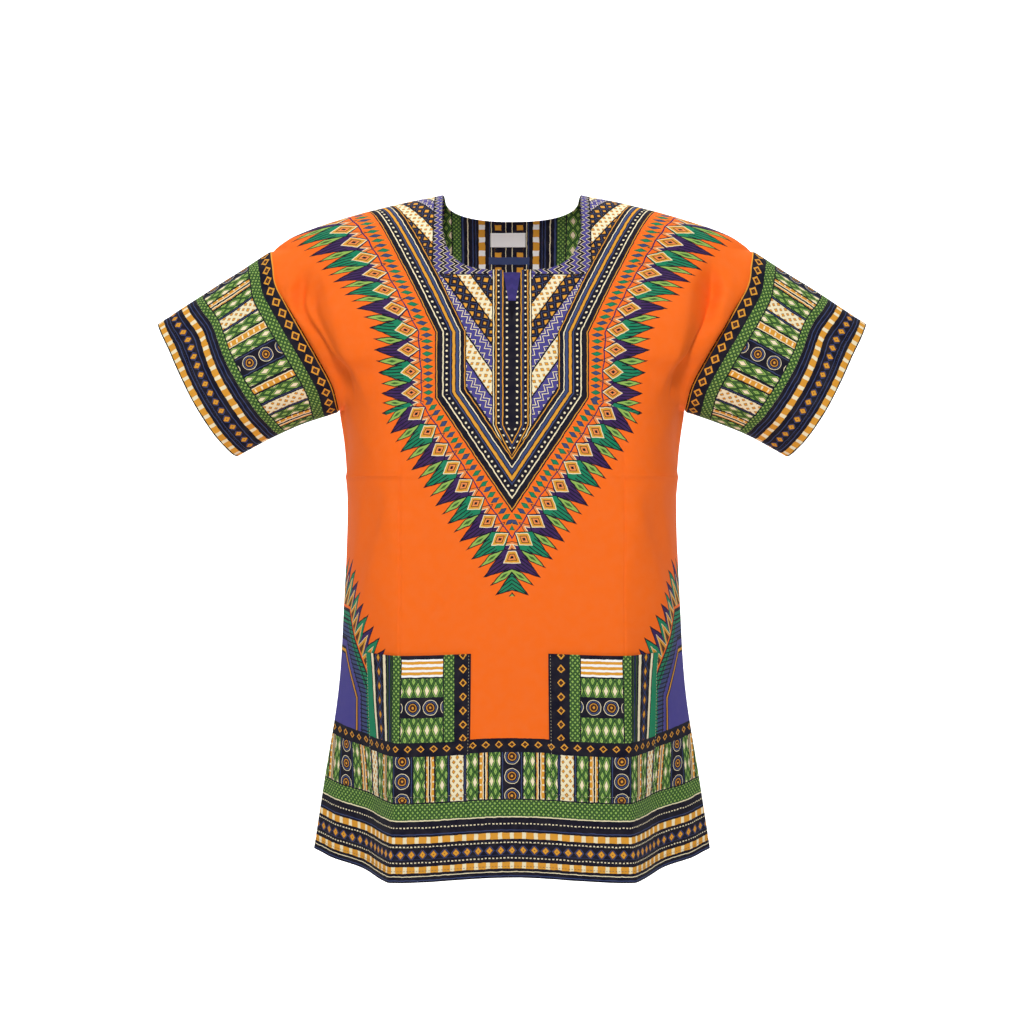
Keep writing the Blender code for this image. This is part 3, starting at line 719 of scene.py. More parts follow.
# %% [markdown]
# ## Where the print lies
# The print belongs to the flat cloth. Below the armpits the flat place is the length along the
# row and the height of the row, so the border follows the hem. Above them it is the width seen
# from the front and the length up the cloth, so the front's ornament keeps its shape at the neck.

# %% Flat places of the body
def body_flat(panel, u, row):
    """s and t of the print in metres, and the distance from the side seam."""
    fine_u = np.linspace(-1, 1, 181)
    rows = np.linspace(0, LOWER_ROWS, 57)
    lattice = body_base(panel, *np.meshgrid(fine_u, rows))
    along = length_along(lattice, 1)
    along = along - along[:, 90:91]
    u, row = np.broadcast_arrays(u, row)
    row_place = np.clip(row / LOWER_ROWS, 0, 1) * 56
    low = np.minimum(55, row_place.astype(int))
    part = row_place - low
    column_place = (np.clip(u, -1, 1) + 1) / 2 * 180
    left = np.minimum(179, column_place.astype(int))
    over = column_place - left

    def read(table):
        lower = mix(table[low, left], table[low, left + 1], over)
        upper = mix(table[low + 1, left], table[low + 1, left + 1], over)
        return mix(lower, upper, part)

    arc = read(along)
    side = read(np.broadcast_to(along[:, -1:], along.shape))
    share = np.clip(row / LOWER_ROWS, 0, 1)
    height = mix(HEM_Z, ARMPIT_Z, share)
    tau = (1 - np.cos(math.pi * np.maximum(0.0, row - LOWER_ROWS) / UPPER_ROWS)) / 2
    x = body_base(panel, u, row)[..., 0]
    armpit_x = section_point(panel, u, ARMPIT_SECTION)[0]
    s = np.where(row <= LOWER_ROWS, arc, x + (arc - armpit_x) * (1 - ease(0.0, 0.6, tau)))
    steps = np.linspace(LOWER_ROWS, TOP_ROW, 43)
    climb = length_along(body_base(panel, *np.meshgrid(fine_u, steps)), 0)
    climb_place = np.clip((row - LOWER_ROWS) / UPPER_ROWS, 0, 1) * 42
    low = np.minimum(41, climb_place.astype(int))
    part = climb_place - low
    t = height + np.where(row > LOWER_ROWS, read(climb), 0.0)
    return s, t, side - np.abs(arc)


def flat_maps(panel, u, row):
    s, t, edge = body_flat(panel, u, row)
    return np.stack([s, t], axis=-1), np.stack([edge, np.zeros_like(edge)], axis=-1)


# %% [markdown]
# ## Front and back
# The front is made in two halves, because its neckline is slit at the middle and the lips stand
# apart. Below the slit the halves merge. The hem is turned up inside the shirt, as it is sewn: the
# grid goes on past the edge and climbs again behind the cloth.

# %% Front and back panels
HEM_TURN = 0.85
PANEL_ROWS = 160
PANEL_COLUMNS = 112
WAIST_ROW = 11.92
HEM_STITCH_ROW = HEM_TURN * 0.4


def panel_rows():
    """Rows of the fine grid, from the top of the turned hem, round the edge and up to the shoulder."""
    dense_rows = ((WAIST_ROW, 0.25, 2.5), (HEM_STITCH_ROW, 0.15, 1.5), (TOP_ROW, 0.5, 4.0))
    outer = crowded(0.0, TOP_ROW, PANEL_ROWS, *dense_rows)
    turned = np.linspace(HEM_STITCH_ROW, 0.0, 6)
    return np.concatenate([turned, outer]), len(turned)


def half_panel(name, panel, u):
    """A part of a panel between two values of u."""
    rows, turned = panel_rows()
    uu, rr = np.meshgrid(u, rows)
    inside = (np.arange(len(rows)) < turned)[:, None] * np.ones_like(uu)
    height = -inside * (2 * CLOTH + LAYER_GAP)
    places = body_surface(panel, uu, rr, height)
    hem_line = 0.0006 * np.exp(-(((rr - HEM_STITCH_ROW) / 0.06) ** 2)) * (1 - inside)
    places = places - body_normal(panel, uu, rr) * hem_line[..., None]
    if panel == "front":
        foot = body_base(panel, 0.0, np.array(TOP_ROW - SLIT_ROWS, float))[2]
        top = body_base(panel, 0.0, np.array(TOP_ROW, float))[2]
        rise = body_base(panel, np.zeros_like(rr), rr)[..., 2]
        share = np.clip((rise - foot) / (top - foot), 0.0, 1.0)
        near = np.clip(1 - np.abs(uu) * HALF_COLUMNS, 0.0, 1.0)
        side = 1.0 if u.mean() > 0 else -1.0
        places[..., 0] += side * SLIT_HALF_WIDTH * share * near
        places[..., 1] += 0.0016 * (share > 0) * np.clip(1 - np.abs(uu) * HALF_COLUMNS * 4, 0, 1) ** 2
    flat, edge = flat_maps(panel, uu, rr)
    flat[..., 0] += places[..., 0] - body_surface(panel, uu, rr, height)[..., 0]
    flat[..., 1] = np.where(inside > 0, 2 * HEM_Z - flat[..., 1], flat[..., 1])
    return laid_out(name, places, flat, edge)


def body_panel(name, panel):
    dense_columns = ((CREASE_U, 0.025, 2.0), (1.0, 0.03, 3.0), (0.9, 0.08, 0.8), (0.0, 0.02, 2.0))
    side = crowded(0.0, 1.0, PANEL_COLUMNS, *dense_columns)
    left = half_panel(name + "_a", panel, -side[::-1])
    right = half_panel(name + "_b", panel, side)
    sheet = joined(name, left, right)
    facing_out(sheet, lambda c: (c[0] * 0.3, SIGN[panel], 0.2))
    return walled(sheet)


front = body_panel("front_cloth", "front")
back = body_panel("back_cloth", "back")

# %% [markdown]
# ## Sleeves
# A sleeve is cut as a flat piece and closed by a seam under the arm. The grid does the same: its
# first and last column meet there and are merged. The cuff is turned up inside like the hem.

# %% Sleeve cloth
SLEEVE_ROUND = 150
SLEEVE_LONG = 66
CUFF_TURN = 0.10
SLEEVE_TAKEN_UP = 0.0045


def sleeve_cloth(name, side):
    angles = np.linspace(-math.pi, math.pi, SLEEVE_ROUND + 1)
    shares = np.concatenate([np.linspace(0, 0.06, 6, endpoint=False), np.linspace(0.06, 1.0, SLEEVE_LONG)])
    turned = np.linspace(1.0, 1.0 - CUFF_TURN, 6)
    shares = np.concatenate([shares, turned])
    inside = np.arange(len(shares)) >= len(shares) - len(turned)
    aa, ss = np.meshgrid(angles, shares)
    behind = inside[:, None] * np.ones_like(aa)
    places = sleeve_surface(side, aa, ss, -behind * (2 * CLOTH + LAYER_GAP))
    stitch_dent = 0.0005 * np.exp(-(((ss - (1 - CUFF_TURN)) / 0.012) ** 2)) * (1 - behind)
    middle = (sleeve_base(side, 0.0, ss) + sleeve_base(side, math.pi, ss)) / 2
    places = places - unit(places - middle) * stitch_dent[..., None]
    base = sleeve_base(side, aa, np.clip(ss, 0, 1))
    ring = length_along(sleeve_base(side, aa, np.full_like(ss, 0.5)), 1)
    ring = ring - ring[:, SLEEVE_ROUND // 2 : SLEEVE_ROUND // 2 + 1]
    at_cuff = sleeve_base(side, aa, np.ones_like(ss))
    at_armhole = sleeve_base(side, aa, np.zeros_like(ss))
    long = np.linalg.norm(at_cuff - at_armhole, axis=-1)
    from_cuff = long * (1 - ss) * np.where(behind > 0, -1, 1)
    round_front = np.exp(-(((aa % (2 * math.pi) - 1.0) / 0.34) ** 2))
    taken_up = SLEEVE_TAKEN_UP * round_front * ease(0.0, 0.035, from_cuff)
    from_cuff = from_cuff - taken_up
    from_armhole = long * ss
    flat = np.stack([ring, from_cuff], axis=-1)
    edge = np.stack([from_armhole, np.zeros_like(ring)], axis=-1)
    sheet = laid_out(name, places, flat, edge)
    sheet = joined(name, sheet)
    centre = base.reshape(-1, 3).mean(axis=0)
    facing_out(sheet, lambda c: (0.0, c[1], (c[2] - centre[2]) + 0.64 * (abs(c[0]) - abs(centre[0]))))
    return walled(sheet)


sleeve_left = sleeve_cloth("sleeve_left_cloth", -1)
sleeve_right = sleeve_cloth("sleeve_right_cloth", 1)

# %% [markdown]
# ## Pockets, neck facing and label
# These lie on a panel, so they are made from the panel's own surface and moved along its normal.
# A pocket stands a little away in its middle and at its mouth, as a patch does that isn't pressed.

# %% Pieces laid on the panels
POCKET_INNER_U = {"pocket_left": 0.0444, "pocket_right": 0.0392}
POCKET_OUTER_U = mix(CREASE_U, 1.0, 0.43)
POCKET_ROWS = (0.175 * LOWER_ROWS, 0.475 * LOWER_ROWS)
POCKET_PUFF = 0.0012
FACING_ROWS = 6
LABEL_MIDDLE_X = -0.0047
LABEL_SIZE = (0.0413, 0.0153)
LABEL_TOP_Z = -0.0325


def laid_sheet(name, panel, u, rows, height, outward, thickness):
    uu, rr = np.meshgrid(u, rows)
    a = np.linspace(0, 1, len(u))[None, :]
    b = np.linspace(0, 1, len(rows))[:, None]
    flat, edge = flat_maps(panel, uu, rr)
    sheet = laid_out(name, body_surface(panel, uu, rr, height(a, b)), flat, edge)
    facing_out(sheet, lambda c: outward)
    return walled(sheet, thickness)


def pocket_height(a, b):
    """Sewn down at the sides and the bottom, free at the mouth."""
    sides = np.clip(np.minimum(a, 1 - a) / 0.06, 0, 1)
    bottom = np.clip(b / 0.05, 0, 1)
    swell = np.sin(math.pi * a) * ease(0.0, 1.0, b)
    return CLOTH + LAYER_GAP + sides * bottom * (0.0004 + POCKET_PUFF * swell)


def pocket_cloth(name, side):
    inner = CREASE_U * POCKET_INNER_U[name.replace("_cloth", "")] / SECTIONS[2][2]
    u = side * np.linspace(inner, POCKET_OUTER_U, 56)
    if side < 0:
        u = u[::-1]
    return laid_sheet(name, "front", u, np.linspace(*POCKET_ROWS, 60), pocket_height, (0, -1, 0), CLOTH)


pocket_left = pocket_cloth("pocket_left_cloth", -1)
pocket_right = pocket_cloth("pocket_right_cloth", 1)

facing_depth = CLOTH + LAYER_GAP
facing = laid_sheet(
    "neck_facing_cloth",
    "back",
    np.linspace(-NECK_U, NECK_U, 90),
    np.linspace(TOP_ROW - FACING_ROWS, TOP_ROW, 50),
    lambda a, b: np.full(np.broadcast(a, b).shape, -facing_depth),
    (0, -1, 0),
    CLOTH,
)


def back_place_at(x, z):
    """u and row of the back panel at a place seen from the front, near the neck."""
    u = np.zeros_like(x)
    row = np.full_like(x, TOP_ROW - 4.0)
    for _ in range(14):
        p = body_base("back", u, row)
        du = body_base("back", u + 0.01, row) - p
        dr = body_base("back", u, row + 0.05) - p
        det = du[..., 0] * dr[..., 2] - du[..., 2] * dr[..., 0]
        dx, dz = x - p[..., 0], z - p[..., 2]
        u = u + 0.01 * (dx * dr[..., 2] - dz * dr[..., 0]) / det
        row = row + 0.05 * (du[..., 0] * dz - du[..., 2] * dx) / det
    return u, row


def label_cloth():
    depth = facing_depth + CLOTH + LAYER_GAP
    a, b = np.meshgrid(np.linspace(-0.5, 0.5, 33), np.linspace(-1, 0, 13))
    u, row = back_place_at(LABEL_MIDDLE_X + LABEL_SIZE[0] * a, LABEL_TOP_Z + LABEL_SIZE[1] * b)
    places = body_surface("back", u, row, -depth - 0.0003 * np.cos(math.pi * a))
    flat = np.stack([a * LABEL_SIZE[0], b * LABEL_SIZE[1]], axis=-1)
    sheet = laid_out("neck_label_cloth", places, flat, flat)
    facing_out(sheet, lambda c: (0, -1, 0))
    return walled(sheet, 0.0005)


label = label_cloth()

# %% [markdown]
# ## Shader maths as plain expressions
# A print like this is a sum of many small shapes. Written with nodes by hand it would be hard to
# read. Here a small class wraps a socket, so that `abs(s) < 0.02` adds the Math nodes for it.
# Colours never go through a Math node. They are mixed with a Mix node.

# %% Dye, the painter of one material
class Value:
    """A socket that carries a number, with arithmetic that adds Math nodes."""

    def __init__(self, dye, socket):
        self.dye = dye
        self.socket = socket

    def maths(self, operation, *numbers):
        return self.dye.add("ShaderNodeMath", {"operation": operation}, dict(enumerate(numbers)))

    def __add__(self, other):
        return self.maths("ADD", self, other)

    __radd__ = __add__

    def __mul__(self, other):
        return self.maths("MULTIPLY", self, other)

    __rmul__ = __mul__
    __and__ = __mul__

    def __sub__(self, other):
        return self.maths("SUBTRACT", self, other)

    def __rsub__(self, other):
        return self.maths("SUBTRACT", other, self)

    def __truediv__(self, other):
        return self.maths("DIVIDE", self, other)

    def __lt__(self, other):
        return self.maths("LESS_THAN", self, other)

    def __gt__(self, other):
        return self.maths("GREATER_THAN", self, other)

    def __abs__(self):
        return self.maths("ABSOLUTE", self)

    def __or__(self, other):
        return self.maths("MAXIMUM", self, other)

    def near(self, centre, reach):
        """1 where the value is within reach of the centre."""
        return self.maths("COMPARE", self, centre, reach)

    def between(self, low, high):
        return self.near((low + high) / 2, (high - low) / 2)

    def folded(self, pitch, start=0.0):
        """Distance from the nearest of the places that repeat every pitch from start."""
        value = self if start == 0.0 else self - start
        return value.maths("PINGPONG", value, pitch / 2)


def rgb(code):
    """A screen colour such as e2a33a as linear light."""
    parts = [int(code[i : i + 2], 16) / 255 for i in (0, 2, 4)]
    linear = [c / 12.92 if c <= 0.04045 else ((c + 0.055) / 1.055) ** 2.4 for c in parts]
    return (*linear, 1.0)


class Dye:
    """Builds the nodes of one cloth material."""

    def __init__(self, name):
        self.material = bpy.data.materials.new(name)
        self.material.use_nodes = True
        self.tree = self.material.node_tree
        self.shader = self.tree.nodes["Principled BSDF"]

    def add(self, kind, settings=None, sockets=None, output=0):
        """A node of a type, with its settings and the values or links of its sockets."""
        node = self.tree.nodes.new(kind)
        for key, value in (settings or {}).items():
            if key == "stops":
                self.set_stops(node.color_ramp, value)
            else:
                setattr(node, key, value)
        for key, value in (sockets or {}).items():
            if isinstance(value, Value):
                self.tree.links.new(value.socket, node.inputs[key])
            else:
                node.inputs[key].default_value = value
        return Value(self, node.outputs[output])

    @staticmethod
    def set_stops(ramp, stops):
        ramp.interpolation = "CONSTANT"
        while len(ramp.elements) > 1:
            ramp.elements.remove(ramp.elements[-1])
        ramp.elements[0].position = 0.0
        ramp.elements[0].color = stops[0][1]
        for place, colour in stops[1:]:
            ramp.elements.new(place).color = colour

    def mix(self, mask, under, over):
        """The colour over where the mask is 1, and under elsewhere."""
        return self.add("ShaderNodeMix", {"data_type": "RGBA"}, {0: mask, 6: under, 7: over}, output=2)

    def coats(self, under, *coats):
        """Coats of paint one over the other, each a mask and the colour that it lays on."""
        for mask, over in coats:
            under = self.mix(mask, under, over)
        return under

    def bands(self, value, start, *bands):
        """Bands of plain colour one after the other: (width, colour) each, from start on."""
        total = sum(width for width, _ in bands)
        stops = []
        at = 0.0
        for width, colour in bands:
            stops.append((at / total, colour))
            at += width
        factor = (value - start) * (1 / total) if start else value * (1 / total)
        return self.add("ShaderNodeValToRGB", {"stops": stops}, {0: factor})

    def uv(self, layer):
        """The two numbers of a UV map."""
        vector = self.add("ShaderNodeUVMap", {"uv_map": layer})
        split = self.add("ShaderNodeSeparateXYZ", None, {0: vector})
        return vector, split, Value(self, split.socket.node.outputs[1])


# %% [markdown]
# ## Colours
# The dyes of the print: a hot orange ground, ink navy, cream, gold, two greens, violet and plum.
# They are written as screen colours and turned into linear light.

# %% Palette
ORANGE = rgb("f66c1c")
NAVY = rgb("131223")
CREAM = rgb("efe2bd")
GOLD = rgb("dc9a34")
PEACH = rgb("e88a4a")
GREEN = rgb("3d6530")
LIGHT_GREEN = rgb("8fb556")
TEAL = rgb("17805a")
PLUM = rgb("3b2257")
VIOLET = rgb("49438c")
BLUE = rgb("3a4873")
BROWN = rgb("58301a")
WHITE = rgb("f7f6f4")

# %% [markdown]
# ## Motifs
# Three fields make most of the motifs: nested diamonds, zigzags and dots. A field runs from 0 to 1
# over each repeat. A row of colour bands over a field turns it into a motif, so the same field
# gives gold diamonds on navy in one block, and navy ones on cream in the next.

# %% Motif fields
def diamonds(s, t, wide, tall):
    """0 at the middle of each diamond, 1 at the middle of the ones between."""
    return s.folded(wide) * (1 / wide) + t.folded(tall) * (1 / tall)


def zigzag(s, t, pitch, slope, repeat):
    """Stripes along s that go up and down: 0 to 1 and back across each."""
    return (t + s.folded(pitch) * slope).folded(repeat) * (2 / repeat)


def dots(s, t, pitch_s, pitch_t):
    """Distance from the nearest dot."""
    square = s.folded(pitch_s) * s.folded(pitch_s) + t.folded(pitch_t) * t.folded(pitch_t)
    return square.maths("SQRT", square)


def dashed(dye, s, pitch, share, dash, ground):
    """A stripe with dashes across it."""
    return dye.mix(s.folded(pitch) < pitch * share / 2, ground, dash)


def speckle(dye, s, t):
    """Green ground filled with light seeds in dark rings."""
    field = diamonds(s, t, 0.0052, 0.0056)
    return dye.bands(
        field, 0, (0.24, LIGHT_GREEN), (0.12, NAVY), (0.24, GREEN), (0.12, NAVY), (0.28, LIGHT_GREEN)
    )


def lozenges(dye, s, t, wide, tall):
    """Green lozenges in rows, with cream triangles between them."""
    field = diamonds(s, t, wide, tall)
    return dye.bands(
        field, 0,
        (0.04, NAVY), (0.17, LIGHT_GREEN), (0.06, NAVY), (0.20, GREEN), (0.07, NAVY), (0.14, LIGHT_GREEN),
        (0.06, NAVY), (0.26, CREAM),
    )


def targets(dye, s, t, pitch):
    """Rings of gold and blue on navy."""
    field = dots(s, t, pitch, pitch)
    return dye.bands(
        field, 0,
        (0.0013, GOLD), (0.0010, NAVY), (0.0012, BROWN), (0.0008, GOLD), (0.0012, NAVY), (0.0012, BLUE),
        (0.0008, NAVY), (0.0006, CREAM), (0.0120, NAVY),
    )


def seeds_on_cream(dye, s, t):
    field = diamonds(s, t, 0.0078, 0.0098)
    return dye.bands(field, 0, (0.19, GOLD), (0.05, BROWN), (0.48, CREAM), (0.06, BROWN), (0.22, GOLD))


def gold_ribbon(dye, s, t):
    """Gold and cream stripes broken by short dashes."""
    stripes = dye.bands(s.folded(0.0098), 0, (0.0009, NAVY), (0.0010, CREAM), (0.0030, GOLD))
    return dye.mix((t.folded(0.0074) < 0.0009) & (s.folded(0.0098) > 0.0030), stripes, CREAM)


def block_strip(dye, s, t, pitch, tall):
    """A row of blocks, mirrored at every half pitch, along s."""
    place = s.folded(pitch) * (0.059 / (pitch / 2))
    green_block = lozenges(dye, s, t, 0.0088, tall)
    colour = targets(dye, place, t, 0.0205)
    return dye.coats(
        colour,
        (place > 0.0098, BLUE),
        (place > 0.0106, NAVY),
        (place > 0.0124, green_block),
        (place > 0.0245, NAVY),
        (place > 0.0262, gold_ribbon(dye, s, t)),
        (place > 0.0345, NAVY),
        (place > 0.0364, green_block),
        (place > 0.0485, NAVY),
        (place > 0.0498, BLUE),
        (place > 0.0506, NAVY),
        (place > 0.0520, seeds_on_cream(dye, s, t)),
    )


def gold_dashes(dye, s):
    """Gold with cream spots, for the broad stripes."""
    return dashed(dye, s, 0.0128, 0.34, CREAM, GOLD)


def fine_dashes(dye, s):
    return dashed(dye, s, 0.0040, 0.5, CREAM, NAVY)


def oval_stripe(dye, s, across):
    """Gold lozenges on navy, along the middle of a stripe."""
    return dye.bands(
        s.folded(0.0120) + abs(across) * 0.9, 0,
        (0.0006, BROWN), (0.0028, GOLD), (0.0009, BROWN), (0.0012, BLUE), (0.0080, NAVY),
    )


def hem_stripes(dye, s, down):
    """The border's stripes: down is the distance below their top."""
    plain = dye.bands(
        down, 0,
        (0.0010, CREAM), (0.0062, NAVY), (0.0010, CREAM), (0.0058, NAVY), (0.0008, BLUE), (0.0024, NAVY),
        (0.0066, GOLD), (0.0032, NAVY), (0.0009, CREAM), (0.0030, NAVY), (0.0094, BLUE), (0.0030, NAVY),
        (0.0009, CREAM), (0.0038, NAVY), (0.0066, GOLD), (0.0028, NAVY), (0.0008, CREAM), (0.0036, NAVY),
        (0.0008, BLUE), (0.0100, NAVY),
    )
    return dye.coats(
        plain,
        (down.between(0.0172, 0.0238), gold_dashes(dye, s)),
        (down.between(0.0309, 0.0403), oval_stripe(dye, s, down - 0.0356)),
        (down.between(0.0480, 0.0546), gold_dashes(dye, s)),
        (down.near(0.0077, 0.0006), fine_dashes(dye, s)),
        (down.near(0.0274, 0.0006), fine_dashes(dye, s)),
        (down.near(0.0438, 0.0006), fine_dashes(dye, s)),
    )


# %% [markdown]
# ## The body's print
# The body has an ornament round the neck, half medallions at the side seams and a border above the
# hem, on plain orange. The neck ornament is a bib with straight sides and a pointed foot. The
# distance from its outline makes its frames inwards and its rays outwards.

# %% The body's print
BIB_HALF_WIDTH = 0.078
BIB_FOOT = -0.350
BIB_FOOT_NORMAL = (0.8255, -0.5645)
BIB_FLARE_FROM = -0.165
BIB_FLARE = 0.46
RAY_PITCH = 0.0230
RAYS_WIDER = 0.52
RAYS_END = -0.4470
NECK_BAND = (0.0862, -0.0970)
BORDER_TOP = -0.5957
BLOCKS_TOP = -0.6090
SPECKLE_TOP = -0.6590
STRIPES_TOP = -0.6773
SIDE_MOTIF = (-0.5900, 0.165, 0.122)

# Where each chevron starts, as a distance from the bib's foot.
CHEVRONS = (
    (0.0300, "sparks"),
    (0.0470, "seeds"),
    (0.0630, "sparks"),
    (0.0790, "checks"),
    (0.0930, "seeds"),
    (0.1060, "checks"),
    (0.1210, "sparks"),
    (0.1340, "seeds"),
)


def border(dye, s, t, colour):
    """The border above the hem, painted over a colour."""
    row = dye.bands(
        s.folded(0.0140) + abs(t - (BORDER_TOP + BLOCKS_TOP) / 2) * 1.15, 0,
        (0.0014, BROWN), (0.0011, NAVY), (0.0018, GOLD), (0.0100, NAVY),
    )
    return dye.coats(
        colour,
        (t < BORDER_TOP, row),
        (t < BLOCKS_TOP, NAVY),
        (t < BLOCKS_TOP - 0.0014, block_strip(dye, s, t, 0.118, 0.0210)),
        (t < SPECKLE_TOP, NAVY),
        (t < SPECKLE_TOP - 0.0014, speckle(dye, s, t)),
        (t < STRIPES_TOP, hem_stripes(dye, s, STRIPES_TOP - t)),
    )


def side_motif(dye, t, edge, colour):
    """A stepped half medallion against a side seam, with a saw edge."""
    centre, tall, wide = SIDE_MOTIF
    outward = edge * (1 / wide)
    upward = abs(t - centre) * (1 / tall)
    reach = (outward | upward) | (outward + upward) * 0.72
    run = t - edge * 0.9
    saw = run.folded(0.0190) * (0.17 / 0.0095)
    ray = dye.mix(run.folded(0.0380) < 0.0095, TEAL, PLUM)
    colour = dye.coats(
        colour,
        ((reach + saw) < 1.10, NAVY),
        ((reach + saw) < 1.07, ray),
        ((reach + saw * 1.3) < 0.99, CREAM),
        ((reach + saw * 1.3) < 0.975, GOLD),
        ((reach + saw * 1.6) < 0.90, BROWN),
    )
    rings = dye.bands(
        reach, 0,
        (0.44, VIOLET), (0.012, NAVY), (0.018, GOLD), (0.02, NAVY), (0.05, VIOLET), (0.015, NAVY),
        (0.09, BLUE), (0.02, TEAL), (0.015, NAVY), (0.05, TEAL), (0.02, NAVY), (0.02, ORANGE),
    )
    hatch = (t.folded(0.0046) < 0.0007) & (reach > 0.53)
    return dye.coats(
        colour,
        (reach < 0.77, rings),
        (hatch & (reach < 0.73), NAVY),
    )


def neck_rays(dye, out, along, colour):
    """What surrounds the bib: a ring of seeds and a ring of long kites. out is the distance from it."""
    seed = along.folded(0.0070) * 2.1 + abs(out - 0.0125)
    tint = dye.mix(along.folded(0.0140) < 0.0035, TEAL, BLUE)
    colour = dye.coats(
        colour,
        (seed < 0.0068, GOLD),
        (seed < 0.0059, NAVY),
        (seed < 0.0048, tint),
    )
    cell = along.folded(RAY_PITCH)
    between = RAY_PITCH / 2 - cell
    bud = between + abs(out - 0.0320) * 0.42
    colour = dye.coats(
        colour,
        (bud < 0.0066, NAVY),
        (bud < 0.0058, PEACH),
        (bud < 0.0036, CREAM),
        (bud < 0.0028, PLUM),
    )
    stem = between + abs(out - 0.0500) * 0.24
    colour = dye.coats(
        colour,
        (stem < 0.0044, NAVY),
        (stem < 0.0034, LIGHT_GREEN),
        (stem < 0.0014, GREEN),
    )
    rise = (out - 0.0200) * 0.80
    fall = (0.0660 - out) * 0.35
    kite = rise.maths("MINIMUM", rise, fall)
    tip = dye.mix(along.folded(2 * RAY_PITCH) < RAY_PITCH / 2, TEAL, PLUM)
    vein = cell.folded(0.0034) < 0.0005
    tip = dye.mix(vein & (out > 0.0400), tip, NAVY)
    colour = dye.coats(
        colour,
        (cell < kite + 0.0011, NAVY),
        (cell < kite, tip),
    )
    heart = abs(out - 0.0315) * 0.70 + cell
    return dye.coats(
        colour,
        (heart < 0.0080, CREAM),
        (heart < 0.0070, GOLD),
        (heart < 0.0046, BROWN),
        (heart < 0.0037, PEACH),
        (heart < 0.0017, NAVY),
        (abs(out - 0.0196 - cell * 0.10) < 0.0006, PLUM),
    )


def chevrons(dye, across, depth, run):
    """Nested chevrons, filled in turn. depth is the distance from the bib's foot, run goes along it."""
    sparks = dye.bands(
        zigzag(run, depth, 0.0088, 1.2, 0.0118), 0,
        (0.46, VIOLET), (0.08, NAVY), (0.20, CREAM), (0.26, VIOLET),
    )
    seeds = seeds_on_cream(dye, run, depth)
    checks = dye.bands(
        diamonds(run, depth - 0.0030, 0.0118, 0.0118), 0,
        (0.16, GOLD), (0.06, BROWN), (0.20, NAVY), (0.06, BLUE), (0.24, NAVY), (0.28, GOLD),
    )
    colour = seeds
    for start, fill in CHEVRONS:
        colour = dye.mix(depth > start - 0.0016, colour, NAVY)
        colour = dye.mix(depth > start, colour, {"sparks": sparks, "seeds": seeds, "checks": checks}[fill])
    return colour


def bib(dye, across, s, t, along, into, depth, run):
    """The inside of the bib: frames, a middle strip and chevrons. into is the distance from its outline."""
    colour = chevrons(dye, across, depth, run)
    band_edge, band_foot = NECK_BAND
    collar = dye.bands(
        zigzag(t, across, 0.0080, 1.5, 0.0120), 0,
        (0.40, VIOLET), (0.10, NAVY), (0.16, CREAM), (0.34, NAVY),
    )
    colour = dye.coats(
        colour,
        ((across < band_edge + 0.0012) & (t > band_foot - 0.0012), NAVY),
        ((across < band_edge) & (t > band_foot), collar),
    )
    taper = (t + 0.3080) * 0.52
    strip = taper.maths("MINIMUM", taper, 0.0215)
    inset = strip - across
    lines = dye.bands(
        inset, 0,
        (0.0010, NAVY), (0.0011, CREAM), (0.0016, NAVY), (0.0012, GOLD), (0.0042, NAVY), (0.0010, BLUE),
        (0.0009, NAVY), (0.0011, GOLD), (0.0120, NAVY),
    )
    beads = (dots(inset - 0.0070, t, 0.5, 0.0066) < 0.0010) | (dots(inset - 0.0160, t, 0.5, 0.0066) < 0.0012)
    lines = dye.mix(beads & (inset > 0.0), lines, CREAM)
    colour = dye.mix((inset > 0.0) & (t < band_foot + 0.0060), colour, lines)
    frames = dye.bands(
        into, 0,
        (0.0030, NAVY), (0.0013, CREAM), (0.0070, NAVY), (0.0012, BLUE), (0.0012, NAVY), (0.0030, GOLD),
        (0.0010, NAVY), (0.0028, BLUE), (0.0009, NAVY), (0.0012, CREAM), (0.0040, NAVY), (0.0010, GOLD),
        (0.0012, NAVY),
    )
    frames = dye.mix(dots(along, into - 0.0078, 0.0062, 0.5) < 0.0012, frames, CREAM)
    return dye.mix(into < 0.0288, colour, frames)


def body_print(dye, s, t, edge):
    """The whole print of a panel."""
    across = abs(s)
    flare = (t - BIB_FLARE_FROM).maths("MAXIMUM", t - BIB_FLARE_FROM, 0.0) * BIB_FLARE
    side = across - BIB_HALF_WIDTH - flare
    foot = across * BIB_FOOT_NORMAL[0] + (t - BIB_FOOT) * BIB_FOOT_NORMAL[1]
    out = side | foot
    along_foot = across * -BIB_FOOT_NORMAL[1] + (t - BIB_FOOT) * BIB_FOOT_NORMAL[0]
    along = dye.add("ShaderNodeMix", {"data_type": "FLOAT"}, {0: side > foot, 2: along_foot, 3: t})
    high = dye.add("ShaderNodeMapRange", None, {0: t, 1: -0.22, 2: 0.0, 3: 1.0, 4: 1 / (1 + RAYS_WIDER)})
    colour = neck_rays(dye, out * high, along, ORANGE)
    colour = dye.mix(t.between(-0.5000, RAYS_END), colour, ORANGE)
    colour = side_motif(dye, t, edge, colour)
    colour = dye.coats(
        colour,
        (out < 0.0050, NAVY),
        (out < 0.0036, GOLD),
        (out < 0.0026, NAVY),
        (out < 0.0, bib(dye, across, s, t, along, 0.0 - out, 0.0 - foot, along_foot)),
    )
    return border(dye, s, t, colour)


# %% [markdown]
# ## Cloth finish
# The cotton is plain woven, thin and a little crisp. The print isn't perfect: its edges wander by
# half a millimetre, the dye is uneven, and the weave shows as fine bumps when seen close.

# %% The finish shared by all printed cloth
WEAVE = 0.0007
WANDER = 0.0007


